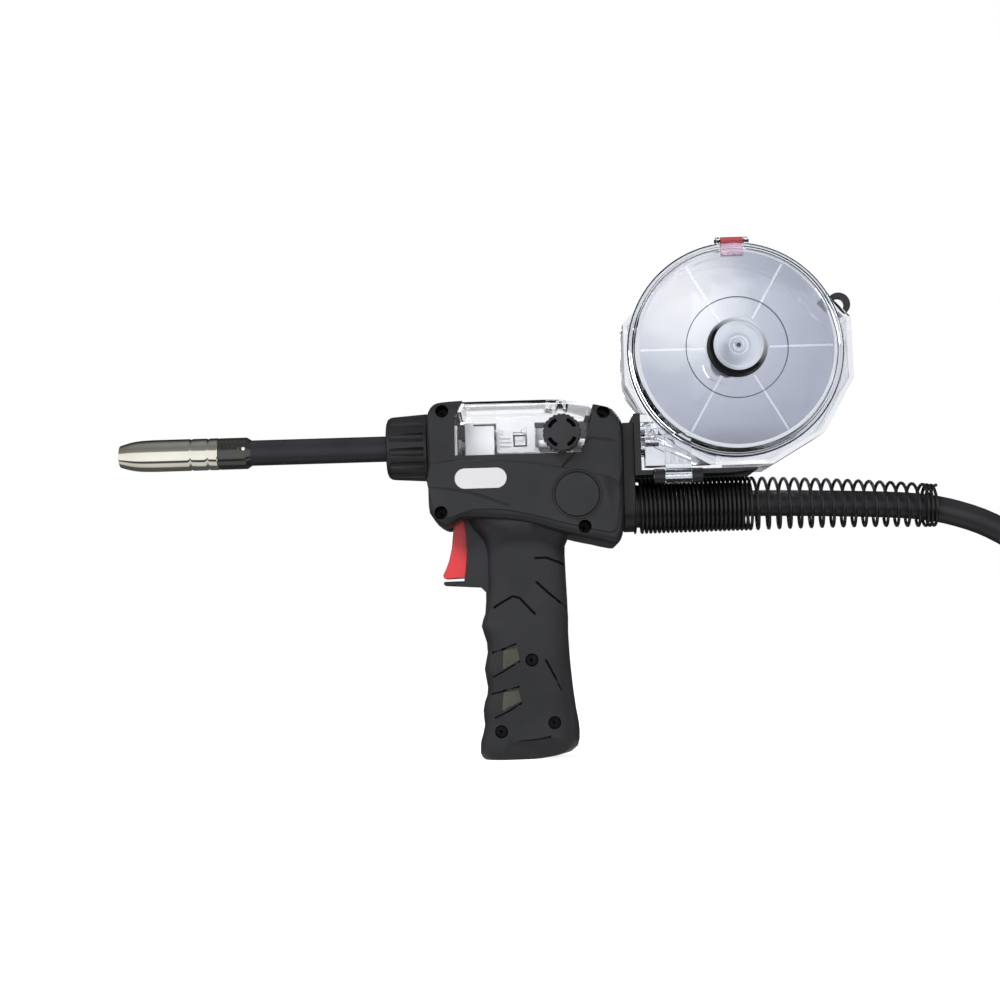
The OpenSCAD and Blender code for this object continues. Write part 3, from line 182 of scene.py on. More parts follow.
def moulded(name, dark, light, gloss, grain, depth, shine, coat=0.0):
    """Moulded plastic: a fine spark-eroded grain, faint flow marks and handled patches."""
    f = Finish(name)
    patches = f.noise(28.0, 4.0)
    fine = f.noise(grain, 2.0, 0.6)
    f.set(Base_Color=f.shades(patches, dark, light),
          Roughness=f.spread(patches, gloss + 0.05, gloss - 0.05),
          Normal=f.bump(fine, depth, 0.5), IOR=1.5, Specular_IOR_Level=shine)
    if coat:
        f.set(Coat_Weight=coat, Coat_Roughness=0.12)
    return f.material


def metal(name, dark, light, gloss, grain=400.0, depth=0.000004, stretch=(1, 1, 1)):
    """Machined metal: turning marks along one way, and small changes of polish."""
    f = Finish(name)
    along = f.add("ShaderNodeMapping", {"Vector": f.place, "Scale": stretch}).outputs["Vector"]
    marks = f.noise(grain, 3.0, 0.6, along)
    cloud = f.noise(60.0, 3.0)
    f.set(Base_Color=f.shades(cloud, dark, light), Metallic=1.0,
          Roughness=f.spread(marks, gloss - 0.04, gloss + 0.08),
          Normal=f.bump(marks, depth, 0.6))
    return f.material


def clear_plastic(name, tint, gloss, wave=0.00002, bend=1.49, wide=55.0):
    """Clear moulding: its tint, small waves of the mould, fine handling marks."""
    f = Finish(name)
    ripples = f.noise(wide, 2.0)
    scuffs = f.noise(900.0, 4.0, 0.7)
    shadow = f.add("ShaderNodeLightPath").outputs["Is Shadow Ray"]
    f.set(Base_Color=tint(f) if callable(tint) else (*tint, 1), Transmission_Weight=1.0, IOR=bend,
          Alpha=f.spread(shadow, 1.0, 0.15, 0.0, 1.0),
          Roughness=f.spread(scuffs, gloss, gloss + 0.05, 0.45, 0.75),
          Normal=f.bump(ripples, wave, 0.5))
    return f.material


def web_tint_with_painted_light(f):
    """Lavender grey, with a painted glare at the upper front that fades outwards, and painted shade
    towards the lower rim.
    """
    glare_centre = (CAN_X - 31, CAN_Z + 29)
    shade_low, shade_high = (CAN_Z - 52) * MM, (CAN_Z - 41) * MM
    away = f.vector("SUBTRACT", {0: f.place, 1: mm(glare_centre[0], 0, glare_centre[1])})
    flat = f.vector("MULTIPLY", {0: away, 1: (1, 0, 1)})
    near = f.vector("LENGTH", {0: flat}, "Value")
    reach = f.reckon("MULTIPLY_ADD", f.noise(45.0, 3.0), 0.014, near)
    # Painted glare: near white at the glare centre, fading out into lavender grey.
    colour = f.ramp(f.spread(reach, 0.0, 1.0, 0.012, 0.090),
                    [(0.0, (0.99, 0.99, 1.0)), (0.20, (0.90, 0.92, 0.96)),
                     (0.48, (0.57, 0.595, 0.68)), (0.72, (0.48, 0.50, 0.585)),
                     (1.0, (0.40, 0.42, 0.51))])
    height = f.add("ShaderNodeSeparateXYZ", {0: f.place}).outputs["Z"]
    # Painted shade: the colour darkens towards the lower rim.
    lower_shade = f.spread(height, 0.70, 1.0, shade_low, shade_high)
    return f.vector("SCALE", {0: colour, "Scale": lower_shade})


def boss_edge_painted_shade():
    """The turned-up edge of the lid's boss, in painted shade: black below and at the front, paler
    above.
    """
    lean, shade_end, lit_end = 1.19, -0.0024, 0.0241
    f = Finish("lid boss edge")
    place = f.add("ShaderNodeSeparateXYZ", {0: f.place}).outputs
    slant = f.reckon("MULTIPLY_ADD", place["Z"], lean, place["X"])
    middle = (CAN_X + lean * CAN_Z) * MM
    # Painted shade and light: the colour runs from black at the lower front to pale grey at the
    # upper rear.
    f.set(Base_Color=f.shades(f.spread(slant, 0.0, 1.0, middle + shade_end, middle + lit_end),
                              (0.0012, 0.0012, 0.0014), (0.50, 0.52, 0.57), 0.0, 1.0),
          Roughness=0.45, Specular_IOR_Level=0.1)
    return f.material


BLACK = moulded("charcoal moulded plastic", (0.0125, 0.013, 0.0148), (0.0180, 0.0186, 0.0212),
                gloss=0.40, grain=2600.0, depth=0.00006, shine=0.32)
SATIN = moulded("satin black plastic", (0.0085, 0.0085, 0.0096), (0.013, 0.013, 0.0148),
                gloss=0.36, grain=3200.0, depth=0.00003, shine=0.32)
COLLAR = moulded("glossy collar resin", (0.010, 0.010, 0.009), (0.014, 0.014, 0.0125),
                 gloss=0.17, grain=3200.0, depth=0.00001, shine=0.78)
SLEEVE = moulded("heat sleeve", (0.0125, 0.012, 0.0155), (0.019, 0.018, 0.023),
                 gloss=0.42, grain=1800.0, depth=0.00005, shine=0.3)
KNOB = moulded("knob plastic", (0.012, 0.012, 0.0135), (0.018, 0.018, 0.020),
               gloss=0.36, grain=2600.0, depth=0.00004, shine=0.4)
PAD = moulded("grip pad rubber", (0.050, 0.050, 0.041), (0.085, 0.085, 0.071),
              gloss=0.55, grain=1500.0, depth=0.00005, shine=0.3)
RED = moulded("trigger red", (0.56, 0.028, 0.034), (0.62, 0.038, 0.044),
              gloss=0.32, grain=2600.0, depth=0.00003, shine=0.4, coat=0.2)
LATCH_RED = moulded("latch red", (0.30, 0.035, 0.05), (0.36, 0.045, 0.06),
                    gloss=0.25, grain=2600.0, depth=0.00002, shine=0.4, coat=0.2)
# Painted veil: a paler red standing for the lid rim's reflections over the latch's foot.
LATCH_PAINTED_VEIL = moulded("latch red under the rim", (0.36, 0.25, 0.30), (0.42, 0.30, 0.36),
                     gloss=0.3, grain=2600.0, depth=0.00002, shine=0.4, coat=0.2)
IVORY = moulded("feed unit moulding", (0.40, 0.408, 0.42), (0.46, 0.468, 0.48),
                gloss=0.35, grain=2200.0, depth=0.00003, shine=0.4)
LABEL = moulded("label plate", (0.55, 0.55, 0.575), (0.60, 0.60, 0.62),
                gloss=0.25, grain=3000.0, depth=0.00001, shine=0.4)
# Painted shade for the inside of the handle's grooves.
GROOVE_SHADE = moulded("groove shade", (0.0022, 0.0022, 0.0026), (0.0035, 0.0035, 0.004),
                 gloss=0.6, grain=2600.0, depth=0.00003, shine=0.1)
MOULD_LINE = moulded("moulded line", (0.20, 0.205, 0.215), (0.26, 0.265, 0.275),
                     gloss=0.4, grain=2200.0, depth=0.00003, shine=0.3)
RUBBER = moulded("lead sheath", (0.011, 0.011, 0.013), (0.018, 0.018, 0.021),
                 gloss=0.42, grain=1500.0, depth=0.00005, shine=0.35)
WIRE = moulded("coated spring wire", (0.005, 0.005, 0.0055), (0.008, 0.008, 0.009),
               gloss=0.3, grain=3200.0, depth=0.00002, shine=0.35)
# Painted shade: near black for the inside of the knob's slots.
SLOT_SHADE = moulded("knob slot", (0.0012, 0.0012, 0.0014), (0.002, 0.002, 0.0022),
               gloss=0.6, grain=2600.0, depth=0.00002, shine=0.05)

NICKEL = metal("polished nickel", (0.66, 0.64, 0.55), (0.76, 0.745, 0.67), 0.07,
               grain=500.0, depth=0.000002, stretch=(0.05, 1, 1))
STEEL = metal("machined steel", (0.50, 0.51, 0.53), (0.60, 0.61, 0.63), 0.26)
BRASS = metal("machined brass", (0.68, 0.50, 0.22), (0.78, 0.60, 0.30), 0.24)
TINNED = metal("tinned brass", (0.62, 0.62, 0.64), (0.74, 0.74, 0.76), 0.34)
COPPER = metal("turned copper", (0.72, 0.38, 0.24), (0.82, 0.47, 0.32), 0.25)
DARK_METAL = metal("blackened metal", (0.035, 0.036, 0.042), (0.055, 0.057, 0.064), 0.34)
BLACK_SCREW = metal("blackened screw", (0.012, 0.012, 0.013), (0.022, 0.022, 0.024), 0.4)
SET_SCREW = metal("bright set screw", (0.86, 0.86, 0.88), (0.95, 0.95, 0.97), 0.3)

CLEAR_DRUM = clear_plastic("clear canister plastic", (0.82, 0.835, 0.87), 0.02,
                           wave=0.0011, bend=1.24, wide=38.0)
CLEAR_RIM = clear_plastic("clear lid rim", (0.80, 0.82, 0.855), 0.02, wave=0.0003, bend=1.25)
# The web's colour carries a painted glare at the upper front and painted shade towards the lower
# rim.
CLEAR_WEB = clear_plastic("canister lid web", web_tint_with_painted_light, 0.06)
CLEAR_COVER = clear_plastic("clear cover plastic", (0.95, 0.955, 0.965), 0.03,
                            wave=0.00003, bend=1.34)
BOSS_FACE = clear_plastic("lid boss face", (0.72, 0.755, 0.815), 0.42, bend=1.30)
# The boss edge's colour is painted shade, dark below and paler above.
BOSS_EDGE_SHADE = boss_edge_painted_shade()
PALE_HUB = clear_plastic("translucent hub plastic", (0.985, 0.985, 0.99), 0.02, bend=1.012)
FROSTED = clear_plastic("frosted rib plastic", (0.97, 0.975, 0.99), 0.55)
# Near-black clear plastic: on the lid's ring line it is painted shade; it also colours the moulding
# pip.
DARK_LINE_PLASTIC = clear_plastic("smoked ring", (0.10, 0.105, 0.13), 0.1)

# ---- Making pieces

WELD, SLIVER, FLAT_ANGLE = 2e-6, 1e-6, 0.4
SMOOTH_ANGLE, SHELL_ANGLE, PAD_ANGLE = 32.0, 34.0, 50.0
EDGE_ANGLE, EDGE_SEGMENTS = 38.0, 2


def belong(piece, node, *replaced):
    """Makes a piece move with a CAD node's body and stand in for nodes."""
    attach(piece, frame["nodes"][node]["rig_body"])
    if replaced:
        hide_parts(*replaced)
    return piece


def welded(node):
    """A CAD node's skin with its loose triangles joined and its flat faces made whole."""
    bm = bmesh.new()
    bm.from_mesh(frame["nodes"][node].data)
    bmesh.ops.remove_doubles(bm, verts=bm.verts, dist=WELD)
    bmesh.ops.dissolve_degenerate(bm, edges=bm.edges, dist=SLIVER)
    bmesh.ops.dissolve_limit(bm, angle_limit=math.radians(FLAT_ANGLE), verts=bm.verts,
                             edges=bm.edges)
    points = [v.co.copy() for v in bm.verts]
    bm.verts.index_update()
    faces = [[v.index for v in f.verts] for f in bm.faces]
    bm.free()
    mesh = bpy.data.meshes.new(node)
    mesh.from_pydata(points, [], faces)
    mesh.update()
    return mesh


def smooth(mesh, angle=SMOOTH_ANGLE):
    mesh.shade_smooth()
    mesh.set_sharp_from_angle(angle=math.radians(angle))


def rounded(piece, width):
    """Takes the sharpness off the edges of a moulded or turned piece."""
    edge = piece.modifiers.new("edge", "BEVEL")
    edge.width = width * MM
    edge.segments = EDGE_SEGMENTS
    edge.limit_method = "ANGLE"
    edge.angle_limit = math.radians(EDGE_ANGLE)
    edge.use_clamp_overlap = True
    edge.harden_normals = False


def finished(node, name, finish, edge=0.0, angle=SMOOTH_ANGLE):
    """Stands in for a CAD node with the same shape, joined, smooth and in its finish."""
    mesh = welded(node)
    smooth(mesh, angle)
    piece = link(name, mesh)
    mesh.materials.append(finish)
    if edge:
        rounded(piece, edge)
    belong(piece, node, node)


def tube(name, points, radius, finish, facets=6):
    """A round rod along a route given in millimetres."""
    data = bpy.data.curves.new(name, "CURVE")
    data.dimensions = "3D"
    data.bevel_depth = radius * MM
    data.bevel_resolution = facets
    data.use_fill_caps = True
    line = data.splines.new("POLY")
    line.points.add(len(points) - 1)
    for spot, place in zip(line.points, points):
        spot.co = (*(Vector(place) * MM), 1)
    line.use_smooth = True
    data.materials.append(finish)
    return link(name, data)


# ---- Strain relief spring: counts of turns, their pitches, radii and droop

SPRING_WIRE = 1.8
SPRING_CLOSE, SPRING_OPEN, SPRING_END = 26, 16, 3
PITCH_CLOSE, PITCH_OPEN, PITCH_END = 2.4, 5.9, 2.3
SPRING_R = (14.5, 14.2, 11.0)
SPRING_X, SPRING_Z = 62.3, 136.1
SPRING_FOOT, SPRING_STEPS = 2.2, 24
SPRING_BEND, SPRING_SAG = SPRING_X + 43.0, 0.000285


def spring_point(turn):
    """Close turns on the gland, then open turns that taper and droop with the lead."""
    open_end = SPRING_CLOSE + SPRING_OPEN
    first, middle, last = SPRING_R
    if turn < SPRING_CLOSE:
        along, radius = PITCH_CLOSE * turn, first + (middle - first) * turn / SPRING_CLOSE
    else:
        radius = middle + (last - middle) * (turn - SPRING_CLOSE) / (SPRING_OPEN + SPRING_END)
        along = PITCH_CLOSE * SPRING_CLOSE + PITCH_OPEN * (min(turn, open_end) - SPRING_CLOSE)
        along += PITCH_END * max(turn - open_end, 0.0)
    x = SPRING_X + SPRING_FOOT + along
    z = SPRING_Z - SPRING_SAG * max(0.0, x - SPRING_BEND) ** 2
    angle = 2 * math.pi * turn
    return Vector((x, -radius * math.sin(angle), z + radius * math.cos(angle)))


def make_spring():
    steps = (SPRING_CLOSE + SPRING_OPEN + SPRING_END) * SPRING_STEPS
    points = [spring_point(i / SPRING_STEPS) for i in range(steps + 1)]
    start = [points[0] - Vector((back, 0, 0)) for back in (SPRING_FOOT, 1)]
    end = points[-1] + Vector((0.3, -2.4, 0.1))
    spring = tube("strain_relief_spring", start + points + [end], SPRING_WIRE / 2, WIRE, 3)
    belong(spring, "strain_spring", "strain_spring")


make_spring()

# ---- Pieces that keep the CAD node's shape: node, name, finish, rounding of the edges

PIECES = [
    ("housing_screws", "housing_screw_set", BLACK_SCREW, 0.25),
    ("label_plate", "side_label_plate", LABEL, 0.15),
    ("side_cap", "round_side_cap", BLACK, 0.2),
    ("trigger", "trigger_lever", RED, 0.9),
    ("trigger_pin", "trigger_pivot", STEEL, 0.2),
    ("micro_switch", "trigger_micro_switch", SATIN, 0.3),
    ("switch_plunger", "micro_switch_plunger", RED, 0.2),
    ("neck_nut", "barrel_lock_nut", SATIN, 0.3),
    ("neck_tube", "barrel_sleeve", SLEEVE, 0.0),
    ("neck_conductor", "barrel_conductor", COPPER, 0.0),
    ("nozzle_insulator", "nozzle_collar", COLLAR, 0.25),
    ("gas_diffuser", "tip_gas_diffuser", BRASS, 0.0),
    ("contact_tip", "wire_contact_tip", COPPER, 0.0),
    ("current_block", "barrel_current_block", TINNED, 0.4),
    ("outlet_guide", "wire_outlet_guide", IVORY, 0.0),
    ("feed_frame", "feed_unit_frame", IVORY, 0.4),
    ("gear_motor", "feed_gear_motor", STEEL, 0.4),
    ("drive_roll", "grooved_drive_roll", STEEL, 0.2),
    ("pressure_arm", "pressure_roll_arm", IVORY, 0.4),
    ("pressure_roll", "pressure_roll_ring", STEEL, 0.2),
    ("roll_axle", "pressure_roll_axle", STEEL, 0.2),
    ("arm_pin", "pressure_arm_pin", STEEL, 0.2),
    ("inlet_guide", "wire_inlet_guide", IVORY, 0.0),
    ("feed_cover", "clear_feed_cover", CLEAR_COVER, 0.0),
    ("cover_knob", "cover_thumb_knob", KNOB, 0.2),
    ("rear_adapter", "canister_adapter", SATIN, 0.5),
    ("canister_bracket", "canister_saddle", SATIN, 0.5),
    ("bracket_screws", "bracket_screw_set", STEEL, 0.2),
    ("canister_body", "canister_drum", CLEAR_DRUM, 0.0),
    ("canister_lid", "canister_hinged_lid", CLEAR_RIM, 0.0),
    ("lid_pin", "canister_lid_pin", STEEL, 0.0),
    ("lid_latch", "canister_lid_latch", LATCH_RED, 0.4),
    ("latch_pin", "canister_latch_pin", DARK_METAL, 0.0),
    ("hang_eye", "gun_hanging_eye", DARK_METAL, 0.4),
    ("spool_shaft", "spool_axle", IVORY, 0.3),
    ("spool_hub", "spool_hub_sleeve", PALE_HUB, 0.3),
    ("brake_spring", "spool_brake_spring", TINNED, 0.0),
    ("shaft_nut", "spool_axle_nut", IVORY, 0.3),
    ("wire_guide", "canister_wire_guide", STEEL, 0.0),
    ("rear_gland", "lead_gland", SATIN, 0.3),
    ("plug_boot", "plug_cable_boot", RUBBER, 0.3),
    ("plug_body", "plug_shell", SATIN, 0.3),
    ("plug_nut", "plug_coupling_nut", SATIN, 0.3),
    ("plug_pins", "plug_contacts", BRASS, 0.2),
]

for node in ("left_housing", "right_housing"):
    finished(node, node + "_shell", BLACK, angle=SHELL_ANGLE)
for node, name, finish, edge in PIECES:
    finished(node, name, finish, edge)

# ---- Finishes that change over a piece, by distance from its axis and by depth

WEB_R, RIB_BACK = 53.5, -27.4
EDGE_R, EDGE_FRONT = (13.9, 17.0), -30.1
BOSS_R, BOSS_FRONT = 13.7, -33.6
LATCH_FOOT_Z = CAN_Z + CAN_R - 1.5
SLOT_R, SLOT_DEPTH = 8.8, 0.3


def tint_lid():
    """The lid's web and boss are thicker and greyer than its rim; its ribs are frosted. The web's
    colour carries painted glare and shade, and the boss's turned-up edge painted shade.
    """
    lid = bpy.data.objects["canister_hinged_lid"].data
    for finish in (CLEAR_WEB, FROSTED, BOSS_EDGE_SHADE, BOSS_FACE):
        lid.materials.append(finish)
    web, rib, edge, boss = 1, 2, 3, 4
    for face in lid.polygons:
        spots = [lid.vertices[i].co / MM for i in face.vertices]
        reach = max(math.hypot(v.x - CAN_X, v.z - CAN_Z) for v in spots)
        depth = min(v.y for v in spots)
        if reach < WEB_R:
            face.material_index = rib if depth > RIB_BACK else web
        # Faces of the boss's turned-up edge take its painted shade.
        if EDGE_R[0] < reach < EDGE_R[1] and depth < EDGE_FRONT:
            face.material_index = edge
        if reach < BOSS_R and depth < BOSS_FRONT:
            face.material_index = boss


def paint_latch_veil():
    """The latch reaches down behind the lid's rim; the rim's clouding of its red is painted on as a
    paler red.
    """
    latch = bpy.data.objects["canister_lid_latch"].data
    latch.materials.append(LATCH_PAINTED_VEIL)
    for face in latch.polygons:
        if face.center.z < LATCH_FOOT_Z * MM:
            face.material_index = 1


def paint_knob_slot_shade():
    """The four curved slots in the knob's face are deep; painted shade makes their inner faces near
    black.
    """
    knob = bpy.data.objects["cover_thumb_knob"].data
    knob.materials.append(SLOT_SHADE)
    front = min(v.co.y for v in knob.vertices)
    for face in knob.polygons:
        reach = math.hypot(face.center.x - KNOB_X * MM, face.center.z - KNOB_Z * MM)
        if face.center.y > front + SLOT_DEPTH * MM and reach < SLOT_R * MM:
            face.material_index = 1


tint_lid()
paint_latch_veil()
paint_knob_slot_shade()

# ---- Details cut into and laid on the handle, as places (x, z) on its side

SIDE_GROOVES = [
    [(5.7, 108.3), (11.8, 108.5), (16.9, 106.6), (21.6, 104.8)],
    [(6.2, 95.3), (12, 89.7), (17.9, 84.6), (21.8, 81.2)],
    [(-17.2, 82.2), (-15, 83.6), (-7, 88), (-3.2, 86.9), (4.8, 78)],
    [(10, 53), (14.1, 44.7), (18.1, 36.4)],
    [(-18.8, 57.6), (-12.7, 59.6), (-6.1, 62.2)],
    [(-18.9, 44.7), (-13.8, 47.2), (-4.2, 52.9)],
    [(-20, 35.5), (-13.3, 37), (-5, 39.2)],
    [(-18.6, 22.6), (-12, 25.6), (-4, 30.2)],
]
GROOVE_R, GROOVE_LIFT, GROOVE_STEP, GROOVE_SIDES = 0.5, 0.1, 1.6, 6
PADS = [
    [(-12.9, 58.5), (-5.6, 61.1), (-4.0, 53.4), (-13.6, 48.2)],
    [(-13.5, 36.2), (-5.2, 38.6), (-3.7, 31.4), (-14.6, 25.9)],
]
PAD_STEPS, PAD_RAISED, PAD_EDGE, PAD_ROOT = 10, 0.22, -0.02, 0.5
RAY_START = 80


def skin_of(piece):
    """Finds the outermost place of a piece at a given X and Z, seen from one side."""
    tree = BVHTree.FromObject(piece, bpy.context.evaluated_depsgraph_get())

    def depth(x, z, side=-1):
        hit = tree.ray_cast(mm(x, RAY_START * side, z), Vector((0, -side, 0)))[0]
        return hit.y / MM if hit else None
    return depth


def solid_mesh(name, points, faces, finish):
    """A closed mesh of places in millimetres, its faces turned outwards."""
    mesh = bpy.data.meshes.new(name)
    mesh.from_pydata([Vector(p) * MM for p in points], [], faces)
    bm = bmesh.new()
    bm.from_mesh(mesh)
    bmesh.ops.recalc_face_normals(bm, faces=bm.faces)
    bm.to_mesh(mesh)
    bm.free()
    mesh.materials.append(finish)
    return mesh


def groove_cutter(route):
    """A closed six-sided rod along a route, for cutting a groove."""
    points, faces, sides = [], [], GROOVE_SIDES
    for i, spot in enumerate(route):
        ahead = (route[min(i + 1, len(route) - 1)] - route[max(i - 1, 0)]).normalized()
        across = ahead.cross(Vector((0, 1, 0))).normalized()
        out = across.cross(ahead)
        for k in range(sides):
            a = 2 * math.pi * k / sides
            points.append(spot + GROOVE_R * (math.cos(a) * across + math.sin(a) * out))
        if i:
            low = (i - 1) * sides
            faces += [(low + k, low + (k + 1) % sides, low + sides + (k + 1) % sides,
                       low + sides + k) for k in range(sides)]
    last = (len(route) - 1) * sides
    faces += [tuple(range(sides)), tuple(last + k for k in reversed(range(sides)))]
    return solid_mesh("groove_cutter", points, faces, GROOVE_SHADE)


def cut(piece, meshes):
    """Takes closed shapes away from a piece and keeps the result as its mesh."""
    tools = [link("cutter", mesh) for mesh in meshes]
    for tool in tools:
        knife = piece.modifiers.new("cut", "BOOLEAN")
        knife.operation, knife.solver, knife.object = "DIFFERENCE", "EXACT", tool
        # The cut faces take the cutters' finish, which paints shade inside the grooves.
        knife.material_mode = "TRANSFER"
    graph = bpy.context.evaluated_depsgraph_get()
    done = bpy.data.meshes.new_from_object(piece.evaluated_get(graph))
    piece.modifiers.clear()
    piece.data = done
    smooth(done, SHELL_ANGLE)
    for tool in tools:
        bpy.data.objects.remove(tool)


def base_wedge(depth, side):
    """The slanted facet that turns the rear of the handle's base inwards."""
    y = depth(8, 13, side)
    corners = [(-14, y, 8.9), (27, y, 14.4), (27, y - 11 * side, -4), (-14, y - 3.0 * side, -4)]
    outer = [(x, y + 12 * side, z) for x, _, z in corners]
    faces = [(0, 1, 2), (0, 2, 3), (4, 6, 5), (4, 7, 6), (0, 4, 5, 1), (1, 5, 6, 2),
             (2, 6, 7, 3), (3, 7, 4, 0)]
    return solid_mesh("base_wedge", corners + outer, faces, BLACK)


def handle_pad(depth, corners, side, name):
    """A thin rubber pad that follows the side of the handle between four corners."""
    steps = PAD_STEPS
    front, back = [], []
    a, b, c, d = (Vector(q) for q in corners)
    for i in range(steps + 1):
        for j in range(steps + 1):
            u, v = i / steps, j / steps
            x, z = (a.lerp(b, u)).lerp(d.lerp(c, u), v)
            inside = min(i, j, steps - i, steps - j)
            y = depth(x, z, side)
            front.append((x, y + side * (PAD_RAISED if inside else PAD_EDGE), z))
            back.append((x, y - side * PAD_ROOT, z))
    row, total = steps + 1, (steps + 1) ** 2
    faces = []
    for i in range(steps):
        for j in range(steps):
            q = (i * row + j, (i + 1) * row + j, (i + 1) * row + j + 1, i * row + j + 1)
            faces += [q, tuple(total + k for k in reversed(q))]
    rim = ([(i, 0) for i in range(steps)] + [(steps, j) for j in range(steps)]
           + [(i, steps) for i in range(steps, 0, -1)] + [(0, j) for j in range(steps, 0, -1)])
    for (i, j), (k, m) in zip(rim, rim[1:] + rim[:1]):
        p, q = i * row + j, k * row + m
        faces.append((p, q, total + q, total + p))
    mesh = solid_mesh(name, front + back, faces, PAD)
    smooth(mesh, PAD_ANGLE)
    belong(link(name, mesh), "left_housing" if side < 0 else "right_housing")


def dress_handle(name, side):
    shell = bpy.data.objects[name]
    depth, lift = skin_of(shell), Vector((0, side * GROOVE_LIFT, 0))
    cutters = []
    for line in SIDE_GROOVES:
        route = []
        for (x0, z0), (x1, z1) in zip(line, line[1:]):
            steps = max(1, round(math.hypot(x1 - x0, z1 - z0) / GROOVE_STEP))
            route += [(x0 + (x1 - x0) * k / steps, z0 + (z1 - z0) * k / steps)
                      for k in range(steps)]
        route.append(line[-1])
        heights = [depth(x, z, side) for x, z in route]
        cutters.append(groove_cutter([Vector((x, y, z)) + lift
                                      for (x, z), y in zip(route, heights) if y is not None]))
    cutters.append(base_wedge(depth, side))
    for k, corners in enumerate(PADS):
        handle_pad(depth, corners, side, f"{name}_pad_{k + 1}")
    cut(shell, cutters)


dress_handle("left_housing_shell", -1)
dress_handle("right_housing_shell", 1)

# ---- Turned pieces


def lathe(name, rows, finish, origin, axis="X", segments=128):
    """Spins rows of (place along the axis, radius) into a closed ring of even quads."""
    mesh = bpy.data.meshes.new(name)
    bm = bmesh.new()
    rings = []
    for along, radius in rows:
        ring = []
        for k in range(segments):
            angle = 2 * math.pi * k / segments
            c, t = radius * math.cos(angle), radius * math.sin(angle)
            spot = (along, c, t) if axis == "X" else (c, along, t)
            ring.append(bm.verts.new((Vector(origin) + Vector(spot)) * MM))
        rings.append(ring)
    for a, b in zip(rings, rings[1:] + rings[:1]):
        for k in range(segments):
            n = (k + 1) % segments
            bm.faces.new((a[k], a[n], b[n], b[k]))
    bmesh.ops.recalc_face_normals(bm, faces=bm.faces)
    bm.to_mesh(mesh)
    bm.free()
    smooth(mesh)
    mesh.materials.append(finish)
    return link(name, mesh)


NOZZLE_R, NOZZLE_BORE = 8.9, 7.8
NOZZLE_MOUTH = [(0.0, 5.95), (0.12, 6.1), (0.4, 6.2), (1.4, 6.52), (2.7, 6.9), (4.4, 7.4),
                (6.4, 7.88), (9.0, 8.34), (12, 8.64), (15.5, 8.8), (19.7, NOZZLE_R)]
NOZZLE_GROOVES = (15.4, 5.9)
GROOVE_SHAPE = [(-1.0, 0.0), (-0.7, 0.12), (0.0, 0.48), (0.7, 0.12), (1.0, 0.0)]
SET_SCREW_BACK, SET_SCREW_UP = 14.5, 1.6
SET_SCREW_SHAPE = [(-0.35, 0.05), (-0.3, 0.9), (0.0, 1.1), (0.8, 1.1), (0.8, 0.05)]


def make_nozzle():
    """Polished gas nozzle: rounded mouth, long easy taper and two turned grooves."""
    low, high = (corner[0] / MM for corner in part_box("nozzle"))
    rows = [(low + along, radius) for along, radius in NOZZLE_MOUTH]
    for back in NOZZLE_GROOVES:
        rows += [(high - back + along, NOZZLE_R - cut_in) for along, cut_in in GROOVE_SHAPE]
    rows += [(high - 0.5, NOZZLE_R), (high, NOZZLE_R - 0.4), (high, NOZZLE_BORE),
             (low + 16, NOZZLE_BORE), (low + 6.5, 6.9), (low + 1.2, 5.7), (low + 0.2, 5.72)]
    belong(lathe("gas_nozzle", rows, NICKEL, (0, 0, BARREL_Z)), "nozzle", "nozzle")


def make_set_screw():
    """A bright little screw head let into the collar."""
    x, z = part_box("nozzle")[1][0] / MM + SET_SCREW_BACK, BARREL_Z + SET_SCREW_UP
    y = skin_of(bpy.data.objects["nozzle_collar"])(x, z)
    rows = [(y + along, radius) for along, radius in SET_SCREW_SHAPE]
    belong(lathe("collar_set_screw", rows, SET_SCREW, (x, 0, z), "Y", 32), "nozzle_insulator")


make_nozzle()
make_set_screw()

# ---- Repeated screw heads and bars


def growth_tree(name, inputs):
    """A tree with named inputs: the places to grow at, those given and the finish."""
    tree = bpy.data.node_groups.new(name, "GeometryNodeTree")
    tree.is_modifier = True
    rows = [("Places", "Geometry", None), *inputs, ("Finish", "Material", None)]
    for label, kind, value in rows:
        socket = tree.interface.new_socket(label, in_out="INPUT",
                                           socket_type="NodeSocket" + kind)
        if value is not None:
            socket.default_value = value
    tree.interface.new_socket("Result", in_out="OUTPUT", socket_type="NodeSocketGeometry")
    nodes = Nodes(tree)
    return nodes, nodes.add("NodeGroupInput").outputs


def repeat(nodes, given, shape, turn=(0, 0, 0)):
    """Ends a tree: the shape at each place, made real and in its finish."""
    spread = nodes.add("GeometryNodeInstanceOnPoints",
                       {"Points": given["Places"], "Instance": shape, "Rotation": turn})
    real = nodes.add("GeometryNodeRealizeInstances",
                     {"Geometry": spread.outputs["Instances"]})
    dress = nodes.add("GeometryNodeSetMaterial",
                      {"Geometry": real.outputs["Geometry"], "Material": given["Finish"]})
    nodes.add("NodeGroupOutput", {"Result": dress.outputs["Geometry"]})
    return nodes.tree


